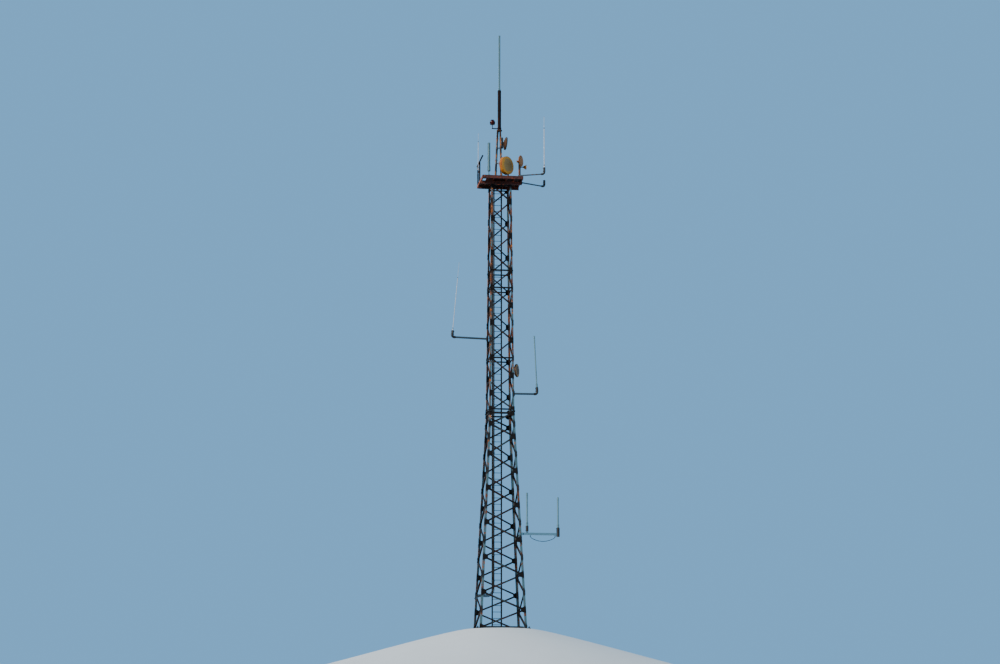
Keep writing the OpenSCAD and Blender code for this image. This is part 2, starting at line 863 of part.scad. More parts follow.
// Pipe clamped to the stand's two right legs
module upper_mount() {
    plate_end = upper_pipe_x - upper_pipe_d / 2 + 1;
    color("slategray") {
        at_upper_pipe() translate([0, 0, -upper_pipe_h / 2])
            cylinder(d = upper_pipe_d, h = upper_pipe_h, $fn = round_fn);
        for (c = upper_clamps)
            translate([stand_x + c[1], stand_y - 150, upper_dish_z + c[0]])
                cube([plate_end - c[1], 300, upper_clamp_h]);
    }
}

post_x = 850;
post_y = -750;
post_d = 110;
post_h = 1000;
post_dish_turn = -30;
post_dish_z = 22610;
post_dish_out = 150;
horn_z = 22350;
horn_arm = 200;

module right_post() {
    color("sienna") translate([post_x, post_y, deck_top + gap]) {
        cylinder(d = post_d, h = post_h, $fn = round_fn);
        translate([-100, -100, 0]) cube([200, 200, foot_t]);
        translate([0, -20, horn_z - deck_top - 20]) cube([horn_arm, 40, 40]);
    }
}

module post_dish() {
    side = -140;
    back = post_d / 2 + gap;
    color("darkgoldenrod") {
        translate([post_x, post_y, post_dish_z]) rotate([0, 0, post_dish_turn]) {
            translate([-back - mount_t, side - 40, -40]) cube([mount_t, 40 - side + 60, 80]);
            translate([-back - 1, side, 0])
                rotate([0, 90, 0])
                    cylinder(d = 60, h = back + post_dish_out - 100, $fn = round_fn);
            translate([post_dish_out, side, 0]) dish(post_dish_d, 70, 30, 80, 5);
        }
        translate([post_x + horn_arm + gap, post_y, horn_z])
            rotate([0, 90, 0])
                cylinder(d1 = 110, d2 = 240, h = 130, $fn = round_fn);
    }
}

mid_dish_z = 12400;
mid_dish_side = 94;
mid_dish_turn = -25;
mid_pivot = 60;

module mid_dish() {
    seat = bar_face + gap;
    color("darkgoldenrod") on_leg(90, mid_dish_side, mid_dish_z, upper_half(mid_dish_z), upper_tilt) {
        translate([seat, -75, -75]) cube([10, 150, 150]);
        translate([seat, -25, -25]) cube([mid_pivot, 50, 50]);
        translate([mid_pivot, 0, -50]) cylinder(d = 80, h = 100, $fn = round_fn);
        translate([mid_pivot, 0, 0]) rotate([0, 0, mid_dish_turn]) {
            rotate([0, 90, 0]) cylinder(d = 60, h = 70, $fn = round_fn);
            translate([225, 0, 0]) dish(mid_dish_d, 90, 60, 90, 10);
        }
    }
}

module tube_antenna() {
    base_h = 220;
    stem_h = 210;
    color("darkseagreen") translate([-680, -920, deck_top + gap]) {
        cylinder(d = 160, h = foot_t, $fn = round_fn);
        cylinder(d = 50, h = stem_h + 10, $fn = round_fn);
        translate([0, 0, stem_h]) cylinder(d = 150, h = base_h, $fn = round_fn);
        translate([0, 0, stem_h + base_h]) cylinder(d = 130, h = 1180, $fn = round_fn);
    }
}

// Arms
arm_bend = 100;
arm_rise = 160;
arm_plate_t = 12;

// Tube along +x from the origin, turned up at its end
module bent_arm(reach, d) {
    rotate([0, 90, 0]) cylinder(d = d, h = reach - arm_bend, $fn = round_fn);
    translate([reach - arm_bend, 0, arm_bend])
        rotate([90, 0, 0])
            rotate([0, 0, -90])
                quarter_bend(arm_bend, d);
    translate([reach, 0, arm_bend]) cylinder(d = d, h = arm_rise - arm_bend, $fn = round_fn);
}

// Boot d wide and h high from z up, leaning about its foot, over the end of a tube
boot_h = 220;
boot_d = 130;

module boot(d, z, h, tube_d, tube_top, lean) {
    difference() {
        translate([0, 0, z]) rotate([0, lean, 0]) cylinder(d = d, h = h, $fn = round_fn);
        cylinder(d = tube_d + 2 * gap, h = tube_top + gap, $fn = round_fn);
    }
}

// Puts its children on top of the boot of an arm with this reach
module on_boot(reach, lean) {
    translate([reach, 0, arm_bend]) rotate([0, lean, 0]) translate([0, 0, boot_h + gap]) children();
}

deck_arm_d = 60;
deck_boot_d = 110;
deck_whip_h = 2590;
saddle_w = 72;
upper_arm_start = [760, -900];
upper_arm_turn = -22;
upper_arm_reach = 1300;
lower_deck_turn = 24;
lower_deck_reach = 1318;
upper_arm_z = deck_top + gap + 8 + deck_arm_d / 2;

module at_upper_arm() {
    translate([upper_arm_start.x, upper_arm_start.y, upper_arm_z]) rotate([0, 0, upper_arm_turn]) children();
}

// Puts its children at the root of the lower deck arm, +x along the tube
module at_lower_deck_arm() {
    translate([deck_side / 2 + gap, -480, bearer_top - 36]) rotate([0, 0, lower_deck_turn]) children();
}

module deck_arms() {
    color("slategray") {
        at_upper_arm() {
            bent_arm(upper_arm_reach, deck_arm_d);
            for (x = [10, 110])
                translate([x, -saddle_w / 2, -8 - deck_arm_d / 2]) cube([50, saddle_w, 8 + deck_arm_d / 2]);
        }
        translate([deck_side / 2 + gap, -540, bearer_top - 106]) cube([arm_plate_t + 4, 120, 100]);
        at_lower_deck_arm() difference() {
            bent_arm(lower_deck_reach, deck_arm_d);
            rotate([0, 0, -lower_deck_turn]) translate([-60, -60, -60]) cube([62, 120, 120]);
        }
    }
}

module deck_whip() {
    color("white") at_upper_arm() on_boot(upper_arm_reach, 0) whip(deck_whip_h, whip_d);
}

left_arm_z = 14020;
left_arm_lift = 1;
left_lean = -3.5;
left_plate_w = 96;
left_whip_h = 3420;
right_arm_z = 11170;
right_lean = -2.2;
right_whip_d = 60;
right_whip_h = 2500;
arm_plate_h = 240;

module at_left_arm() {
    half = upper_half(left_arm_z);
    on_leg(270, 45 - half, left_arm_z, half, upper_tilt) children();
}

// Puts its children at the root of the left arm's tube, +x along the tube
module at_left_tube() {
    at_left_arm() translate([gap + arm_plate_t / 2, 0, 0]) rotate([0, -left_arm_lift, 0]) children();
}

left_tube_l = round((left_reach - upper_half(left_arm_z)) / cos(left_arm_lift));

module mid_left_arm() {
    color("slategray") {
        at_left_arm()
            translate([gap, -left_plate_w / 2, -arm_plate_h / 2])
                cube([arm_plate_t, left_plate_w, arm_plate_h]);
        at_left_tube() bent_arm(left_tube_l, arm_d);
    }
}

module mid_left_whip() {
    color("white") at_left_tube() on_boot(left_tube_l, left_lean) whip(left_whip_h, slim_whip);
}

// Puts its children at the root of the right arm's tube, +x along the tube
module at_right_tube() {
    half = upper_half(right_arm_z);
    on_leg(90, 70 - half, right_arm_z, half, upper_tilt)
        translate([rail_seat + arm_plate_t / 2, 0, 0])
            children();
}

right_tube_l = round(right_reach - upper_half(right_arm_z));

module mid_right_arm() {
    color("slategray") at_right_tube() {
        translate([-arm_plate_t / 2, -55, -arm_plate_h / 2]) cube([arm_plate_t, 110, arm_plate_h]);
        bent_arm(right_tube_l, arm_d);
    }
}

module mid_right_whip() {
    color("gray") at_right_tube()
        on_boot(right_tube_l, right_lean)
            stout_antenna(right_whip_d, 90, 160, right_whip_h);
}

// Lower arm, its rail across the right side and the two antennas on it
lower_arm_z = 4450;
lower_arm_w = 60;
lower_arm_h = 110;
rail_h_lower = 100;
rail_d_lower = 50;
arm_y = 90 - lower_half(lower_arm_z);
end_mount_d = 150;
end_mount_top = 300;
end_mount_low = 120;
end_x = lower_reach - end_mount_d / 2;
near_x = 1170;
near_tube_d = 60;
near_tube_top = 160;
near_boot_z = 110;
near_boot_h = 250;
end_antenna_h = 1430;
near_antenna_h = 1560;
clip_d = 34;
clip_h = 45;

// Puts its children on the lower arm's centre line, at the tower's axis
module at_lower_arm() {
    translate([0, arm_y, lower_arm_z]) children();
}

module lower_arm() {
    half = lower_half(lower_arm_z);
    l = 2 * (half - gusset_edge);
    y = lower_arm_z / cos(lower_tilt) - rail_h_lower / 2;
    color("slategray") {
        on_side(90, 0, base_side / 2, lower_tilt) {
            packing(half, lower_leg_w, y, rail_h_lower);
            translate([-l / 2, y, rail_seat]) cube([l, rail_h_lower, rail_d_lower]);
        }
        at_lower_arm() {
            translate([half + 30, -lower_arm_w / 2, -lower_arm_h / 2])
                cube([end_x + 30 - half - 30, lower_arm_w, lower_arm_h]);
            translate([near_x, 0, 0]) cylinder(d = near_tube_d, h = near_tube_top, $fn = round_fn);
            for (p = [jumper_points[0], jumper_points[len(jumper_points) - 1]])
                translate([p.x, 0, p.y + gap]) cylinder(d = clip_d, h = clip_h + 10, $fn = round_fn);
        }
    }
}

// Antenna d wide and l long with a stout base b wide and h high
module stout_antenna(d, b, h, l) {
    cylinder(d = b, h = h, $fn = round_fn);
    cylinder(d = d, h = l, $fn = round_fn);
    translate([0, 0, l - 120]) cylinder(d = d + 8, h = 120, $fn = round_fn);
}

module lower_antennas() {
    color("gray") at_lower_arm() {
        translate([end_x, 0, end_mount_top + gap]) stout_antenna(stout_d, stout_d + 24, 140, end_antenna_h);
        translate([near_x, 0, near_boot_z + near_boot_h + gap])
            stout_antenna(stout_d, stout_d + 24, 160, near_antenna_h);
    }
}

// Boots that the antennas stand on, over the ends of the arms and round the end of the lower arm
module antenna_boots() {
    w = lower_arm_w + 2 * gap;
    h = lower_arm_h + 2 * gap;
    color("#2b1d16") {
        at_upper_arm()
            translate([upper_arm_reach, 0, 0])
                boot(deck_boot_d, arm_bend, boot_h, deck_arm_d, arm_rise, 0);
        at_lower_deck_arm()
            translate([lower_deck_reach, 0, 0])
                boot(deck_boot_d, arm_bend, boot_h, deck_arm_d, arm_rise, 0);
        at_left_tube()
            translate([left_tube_l, 0, 0])
                boot(boot_d, arm_bend, boot_h, arm_d, arm_rise, left_lean);
        at_right_tube()
            translate([right_tube_l, 0, 0])
                boot(boot_d, arm_bend, boot_h, arm_d, arm_rise, right_lean);
        at_lower_arm() {
            translate([near_x, 0, 0])
                boot(boot_d, near_boot_z, near_boot_h, near_tube_d, near_tube_top, 0);
            translate([end_x, 0, 0]) difference() {
                translate([0, 0, -end_mount_low])
                    cylinder(d = end_mount_d, h = end_mount_low + end_mount_top, $fn = round_fn);
                translate([-end_mount_d, -w / 2, -h / 2]) cube([end_mount_d + 30 + gap, w, h]);
            }
        }
    }
}

// Sagging cable under the lower arm, from clip to clip, in x and z from the arm's centre line
jumper_from = near_x + 150;
jumper_to = lower_reach - 220;
jumper_drop = [[0, -100], [8, -140], [60, -196], [190, -262], [380, -322]];
jumper_points = concat([for (p = jumper_drop) [jumper_from + p.x, p.y]],
    [[(jumper_from + jumper_to) / 2, -345]],
    [for (i = [1:len(jumper_drop)]) let(p = jumper_drop[len(jumper_drop) - i]) [jumper_to - p.x, p.y]]);
jumper_d = 24;
jumper_sides = 10;
jumper_steps = 3;
jumper_last = len(jumper_points) - 1;

// Point of the smooth curve through the route's points at t, one unit a span
function route_at(t) = let(i = min(floor(t), jumper_last - 1), f = t - i,
        a = jumper_points[max(i - 1, 0)], b = jumper_points[i],
        c = jumper_points[i + 1], d = jumper_points[min(i + 2, jumper_last)])
    0.5 * (2 * b + (c - a) * f + (2 * a - 5 * b + 4 * c - d) * f * f + (3 * b - a - 3 * c + d) * f * f * f);
// Upward normal of the route at t, level at its two ends
function normal_at(t) = let(v = route_at(min(t + 0.05, jumper_last)) - route_at(max(t - 0.05, 0)))
    t == 0 ? [1, 0] : t == jumper_last ? [-1, 0] : [-v.y, v.x] / norm(v);

module jumper_cable() {
    rings = jumper_last * jumper_steps;
    r = jumper_d / 2;
    points = [for (k = [0:rings], s = [0:jumper_sides - 1])
        let(t = k / jumper_steps, p = route_at(t), n = normal_at(t), a = 360 * s / jumper_sides)
            [p.x + r * cos(a) * n.x, r * sin(a), p.y + r * cos(a) * n.y]];
    sides = [for (k = [0:rings - 1], s = [0:jumper_sides - 1])
        let(e = (s + 1) % jumper_sides, i = k * jumper_sides)
            [i + s, i + e, i + jumper_sides + e, i + jumper_sides + s]];
    start = [for (s = [0:jumper_sides - 1]) jumper_sides - 1 - s];
    end = [for (s = [0:jumper_sides - 1]) rings * jumper_sides + s];
    color("#303030") at_lower_arm() polyhedron(points, concat(sides, [start], [end]));
}

base_frame();
bottom_legs();
lower_legs();
upper_legs();
top_legs();
lower_splice();
knuckle_joint();
upper_splice();
lower_front_bracing();
lower_right_bracing();
lower_back_bracing();
lower_left_bracing();
upper_front_bracing();
upper_right_bracing();
upper_back_bracing();
upper_left_bracing();
ladder();
ladder_stays();
feeder_cables();
cable_clamps();
bridge_bracket();
deck_bearers();
deck_frame();
deck_plates();
guard_rail();
pole_stand();
main_pole();
top_antenna();
lamp_bracket();
obstruction_lamp();
upper_dish();
upper_mount();
large_dish();
dish_mount();
right_post();
post_dish();
tube_antenna();
rail_whip();
deck_arms();
deck_whip();
mid_left_arm();
mid_left_whip();
mid_right_arm();
mid_right_whip();
mid_dish();
lower_arm();
lower_antennas();
antenna_boots();
jumper_cable();
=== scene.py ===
"""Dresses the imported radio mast: finishes, fastenings, fittings, the sagging cable, the stage and the camera.

Lengths are in metres in the part's own frame: +Z up, -Y the front, the origin under the middle of
the base frame. A place is a matrix that takes a fitting's own frame to the part's, and a profile
lists radii and heights.
"""

import json
import logging
import math
from dataclasses import dataclass, field
from enum import Enum
from typing import Any, Iterable, Sequence

import bmesh
import bpy
from mathutils import Matrix, Vector

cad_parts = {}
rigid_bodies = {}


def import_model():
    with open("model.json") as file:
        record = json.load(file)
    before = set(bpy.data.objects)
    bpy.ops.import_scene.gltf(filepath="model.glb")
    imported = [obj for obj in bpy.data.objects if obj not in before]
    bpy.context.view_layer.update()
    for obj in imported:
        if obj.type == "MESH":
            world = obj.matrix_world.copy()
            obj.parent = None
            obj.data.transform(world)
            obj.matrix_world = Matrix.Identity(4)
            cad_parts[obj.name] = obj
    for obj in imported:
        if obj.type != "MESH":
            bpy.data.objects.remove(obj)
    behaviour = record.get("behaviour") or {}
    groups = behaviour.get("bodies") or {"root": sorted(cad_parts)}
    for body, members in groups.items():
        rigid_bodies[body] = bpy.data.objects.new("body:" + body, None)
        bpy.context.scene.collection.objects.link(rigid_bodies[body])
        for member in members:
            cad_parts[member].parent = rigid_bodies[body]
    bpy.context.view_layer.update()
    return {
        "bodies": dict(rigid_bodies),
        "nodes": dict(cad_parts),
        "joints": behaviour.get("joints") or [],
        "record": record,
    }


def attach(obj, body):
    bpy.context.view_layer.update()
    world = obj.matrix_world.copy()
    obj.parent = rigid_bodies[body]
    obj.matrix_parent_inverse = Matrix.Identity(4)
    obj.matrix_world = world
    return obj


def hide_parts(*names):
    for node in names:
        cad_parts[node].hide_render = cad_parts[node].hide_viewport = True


Colour = tuple[float, float, float]
Point = tuple[float, float, float]
Span = tuple[float, float]
Profile = Sequence[tuple[float, float]]
SMOOTH_BELOW = math.radians(38)
GAP = 0.0003
BITE = 0.0005
CORNERS = (45, 135, 225, 315)
log = logging.getLogger("radio_mast")


class Slot(Enum):
    """The record's material slots."""

    RUSTED = "rusted_steel"
    GALVANISED = "galvanised_steel"
    OXIDE = "oxide_steel"
    OCHRE = "ochre_paint"
    POLE = "dark_pole"
    WHITE = "white_rod"
    GREY = "grey_rod"
    JACKET = "cable_jacket"
    LENS = "red_lens"


class Axis(Enum):
    """The axes that a place can be turned about."""

    X = "X"
    Y = "Y"
    Z = "Z"


class Kind(Enum):
    """The kinds of socket that a node group has."""

    VALUE = "NodeSocketFloat"
    COLOUR = "NodeSocketColor"


def moved(x: float = 0.0, y: float = 0.0, z: float = 0.0) -> Matrix:
    """Returns a shift by x, y and z."""
    return Matrix.Translation((x, y, z))


def spun(degrees: float, axis: Axis = Axis.Z) -> Matrix:
    """Returns a turn of so many degrees about an axis."""
    return Matrix.Rotation(math.radians(degrees), 4, axis.value)


def out_along_x(place: Matrix) -> Matrix:
    """Returns a place turned so that its z axis points along the old x axis."""
    return place @ spun(90, Axis.Y)


def axes(x: Sequence[float], z: Sequence[float], at: Sequence[float] = (0.0, 0.0, 0.0)) -> Matrix:
    """Builds a frame from the directions of its x and z axes.

    Args:
        x: Direction of the frame's x axis.
        z: Direction of the frame's z axis, square to x.
        at: The frame's origin.

    Returns:
        The matrix that takes the frame's points to the part's.
    """
    right, up = Vector(x).normalized(), Vector(z).normalized()
    across = up.cross(right)
    turned = Matrix((right, across, up)).transposed().to_4x4()
    return Matrix.Translation(at) @ turned


class Solids:
    """Collects closed solids into the mesh of one piece."""

    def __init__(self) -> None:
        """Starts an empty mesh."""
        self._mesh = bmesh.new()

    def _ring(self, points: Iterable[Vector]) -> list[bmesh.types.BMVert]:
        """Returns new vertices at the points."""
        return [self._mesh.verts.new(p) for p in points]

    def _band(self, low: list[bmesh.types.BMVert], high: list[bmesh.types.BMVert]) -> None:
        """Joins two rings with faces.

        Args:
            low: Vertices of the first ring, or the single point that it closes to.
            high: Vertices of the second ring, or the single point that it closes to.
        """
        count = max(len(low), len(high))
        for i in range(count):
            j = (i + 1) % count
            if len(low) == 1:
                self._mesh.faces.new((low[0], high[j], high[i]))
            elif len(high) == 1:
                self._mesh.faces.new((low[i], low[j], high[0]))
            else:
                self._mesh.faces.new((low[i], low[j], high[j], high[i]))

    def turned(self, place: Matrix, profile: Profile, sides: int = 24) -> None:
        """Adds a solid turned about its local z axis.

        Args:
            place: Where the solid stands.
            profile: Radius and height of each ring, from one end of the axis to the other.
            sides: Number of sides of each ring.
        """
        rings = []
        for radius, height in profile:
            steps = sides if radius > 0 else 1
            angles = [math.tau * i / sides for i in range(steps)]
            points = (Vector((radius * math.cos(a), radius * math.sin(a), height)) for a in angles)
            rings.append(self._ring(place @ point for point in points))
        for low, high in zip(rings, rings[1:]):
            self._band(low, high)

    def hoop(self, place: Matrix, radius: float, section: Profile, sides: int = 48) -> None:
        """Adds a closed hoop about the local z axis.

        Args:
            place: Where the hoop lies.
            radius: Radius that the section's first numbers are added to.
            section: Corners of the hoop's section, as extra radius and height.
            sides: Number of steps round the hoop.
        """
        rings = []
        for i in range(sides):
            a = math.tau * i / sides
            x, y = math.cos(a), math.sin(a)
            points = (Vector(((radius + out) * x, (radius + out) * y, up)) for out, up in section)
            rings.append(self._ring(place @ point for point in points))
        for i, ring in enumerate(rings):
            self._band(ring, rings[(i + 1) % sides])

    def tube(self, path: Sequence[Vector], radius: float, sides: int = 10) -> None:
        """Adds a round bar along a path, closed at its ends.

        Args:
            path: Points of the bar's centre line.
            radius: Radius of the bar.
            sides: Number of its sides.
        """
        rings = []
        side = None
        last = len(path) - 1
        for i, point in enumerate(path):
            along = (path[min(i + 1, last)] - path[max(i - 1, 0)]).normalized()
            if side is None:
                side = along.orthogonal().normalized()
            side = (side - along * side.dot(along)).normalized()
            up = along.cross(side)
            angles = [math.tau * k / sides for k in range(sides)]
            rings.append(self._ring(point + radius * (math.cos(a) * side + math.sin(a) * up) for a in angles))
        for low, high in zip(rings, rings[1:]):
            self._band(low, high)
        self._mesh.faces.new(list(reversed(rings[0])))
        self._mesh.faces.new(rings[-1])

    def plate(self, place: Matrix, outline: Profile, thickness: float, chamfer: float = 0.0) -> None:
        """Adds a flat plate.

        Args:
            place: Where the plate lies; its underside is at local z = 0.
            outline: Corners of the plate in local x and y.
            thickness: Thickness of the plate.
            chamfer: Width of the chamfer on its edges.
        """
        low = self._ring(place @ Vector((x, y, 0.0)) for x, y in outline)
        high = self._ring(place @ Vector((x, y, thickness)) for x, y in outline)
        self._band(low, high)
        caps = [self._mesh.faces.new(list(reversed(low))), self._mesh.faces.new(high)]
        if chamfer:
            edges = [edge for face in caps for edge in face.edges]
            edges += [self._mesh.edges.get(pair) for pair in zip(low, high)]
            bmesh.ops.bevel(self._mesh, geom=edges, offset=chamfer, segments=1, affect="EDGES")

    def block(
        self, place: Matrix, low: Sequence[float], high: Sequence[float], chamfer: float = 0.001
    ) -> None:
        """Adds a block with small chamfers.

        Args:
            place: Frame that its corners are given in.
            low: Its lowest corner.
            high: Its highest corner.
            chamfer: Width of the chamfers.
        """
        outline = [(low[0], low[1]), (high[0], low[1]), (high[0], high[1]), (low[0], high[1])]
        self.plate(place @ moved(z=low[2]), outline, high[2] - low[2], chamfer)

    def bolt(self, place: Matrix, across: float = 0.024, stub: float = 0.0) -> None:
        """Adds a hexagon head on its washer, or a nut with the bolt's end standing out of it.

        Args:
            place: Where the head sits, with the local z axis pointing away from the plate.
            across: Size of the hexagon across its flats.
            stub: Length of bolt that stands out of the nut, or 0 for a head.
        """
        corner = across / math.sqrt(3)
        washer, seat = 1.18 * corner, 0.003
        head, shoulder, crown = 0.62 * across, 0.82, 0.86
        shank, tip = 0.3 * across, 0.24 * across
        self.turned(place, [(0, 0), (washer, 0), (washer, seat), (0, seat)], 10)
        profile = [(0, 0), (corner, 0), (corner, shoulder * head), (crown * corner, head), (0, head)]
        self.turned(place @ moved(z=seat), profile, 6)
        if stub:
            profile = [(0, 0), (shank, 0), (shank, stub - 0.002), (tip, stub), (0, stub)]
            self.turned(place @ moved(z=seat + head - 0.001), profile, 8)

    def u_bolt(self, place: Matrix, radius: float, leg: float, rod: float, nut_at: float) -> None:
        """Adds a U-bolt bent over the local y axis towards +z, with its nuts.

        Args:
            place: Centre of the bend.
            radius: Radius of the bend to the rod's centre line.
            leg: How far the legs run below the centre.
            rod: Radius of the rod.
            nut_at: Local height of the face that the nuts sit on, below the centre.
        """
        steps, nut = 12, 3.2 * rod
        angles = [math.pi * i / steps for i in range(steps + 1)]
        bend = [Vector((radius * math.cos(a), 0, radius * math.sin(a))) for a in angles]
        path = [Vector((radius, 0, -leg)), *bend, Vector((-radius, 0, -leg))]
        self.tube([place @ p for p in path], rod, 8)
        for side in (-1, 1):
            self.bolt(place @ moved(side * radius, 0, nut_at) @ spun(180, Axis.X), nut)

    def piece(
        self, name: str, finish: bpy.types.Material, place: Matrix | None = None
    ) -> bpy.types.Object:
        """Turns what was collected into an object that rides on the mast, and reports it.

        Args:
            name: Name of the piece.
            finish: Its material.
            place: Frame that the mesh was drawn in, where it isn't the part's.

        Returns:
            The new object.
        """
        bmesh.ops.recalc_face_normals(self._mesh, faces=self._mesh.faces)
        for face in self._mesh.faces:
            face.smooth = True
        for edge in self._mesh.edges:
            edge.smooth = len(edge.link_faces) == 2 and edge.calc_face_angle(0.0) < SMOOTH_BELOW
        mesh = bpy.data.meshes.new(name)
        self._mesh.to_mesh(mesh)
        self._mesh.free()
        mesh.materials.append(finish)
        made = bpy.data.objects.new(name, mesh)
        bpy.context.scene.collection.objects.link(made)
        if place is not None:
            made.matrix_world = place
        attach(made, "root")
        log.info("%s: %d faces", name, len(mesh.polygons))
        return made


class Graph:
    """Adds and joins the nodes of one shader tree."""

    def __init__(self, tree: bpy.types.NodeTree) -> None:
        """Keeps the tree."""
        self.tree = tree

    def feed(self, socket: bpy.types.NodeSocket, value: Any) -> None:
        """Feeds one input.

        Args:
            socket: The input.
            value: The output that is linked to it, or the input's own value.
        """
        if isinstance(value, bpy.types.NodeSocket):
            self.tree.links.new(value, socket)
        elif isinstance(value, tuple) and socket.type == "RGBA":
            socket.default_value = (*value, 1.0)
        else:
            socket.default_value = value

    def add(self, kind: str, feeds: dict[Any, Any] | None = None, **settings: Any) -> bpy.types.Node:
        """Adds a node.

        Args:
            kind: The node's type, without its ShaderNode prefix.
            feeds: Values or sockets for its inputs, by name or number.
            **settings: Properties of the node.

        Returns:
            The new node.
        """
        node = self.tree.nodes.new("ShaderNode" + kind)
        for name, value in settings.items():
            setattr(node, name, value)
        for name, value in (feeds or {}).items():
            self.feed(node.inputs[name], value)
        return node

    def math(self, operation: str, *values: Any) -> bpy.types.NodeSocket:
        """Returns the result of a Math node."""
        return self.add("Math", dict(enumerate(values)), operation=operation).outputs[0]

    def centred(self, mask: Any, weight: float) -> bpy.types.NodeSocket:
        """Returns a mask of 0 to 1 times a weight, shifted so that its middle is 0."""
        return self.math("MULTIPLY_ADD", mask, weight, -weight / 2)

    def span(
        self, value: Any, low: float, high: float, least: float = 0.0, most: float = 1.0
    ) -> bpy.types.NodeSocket:
        """Returns a value mapped smoothly from low..high to least..most."""
        feeds = {"Value": value, "From Min": low, "From Max": high, "To Min": least, "To Max": most}
        return self.add("MapRange", feeds, interpolation_type="SMOOTHSTEP").outputs[0]

    def blend(self, share: Any, low: Any, high: Any) -> bpy.types.NodeSocket:
        """Returns a colour between low and high."""
        node = self.add("Mix", {0: share, 6: low, 7: high}, data_type="RGBA", clamp_factor=True)
        return node.outputs[2]

    def noise(self, place: Any, scale: Any, detail: float, roughness: float = 0.5) -> bpy.types.NodeSocket:
        """Returns the value of a noise texture."""
        feeds = {"Vector": place, "Scale": scale, "Detail": detail, "Roughness": roughness}
        return self.add("TexNoise", feeds).outputs[0]

    def where(self) -> bpy.types.NodeSocket:
        """Returns the point's place on the object."""
        return self.add("TexCoord").outputs["Object"]

    def parts(self, vector: Any) -> bpy.types.NodeOutputs:
        """Returns the three numbers of a vector."""
        return self.add("SeparateXYZ", {0: vector}).outputs

    def facing(self) -> bpy.types.NodeOutputs:
        """Returns the three numbers of the direction that the surface faces."""
        return self.parts(self.add("NewGeometry").outputs["Normal"])

    def group(self, tree: bpy.types.NodeTree, **feeds: Any) -> bpy.types.NodeOutputs:
        """Places a node group.

        Args:
            tree: The group.
            **feeds: Values or sockets for its inputs.

        Returns:
            The group's outputs.
        """
        node = self.add("Group", node_tree=tree)
        for name, value in feeds.items():
            self.feed(node.inputs[name], value)
        return node.outputs


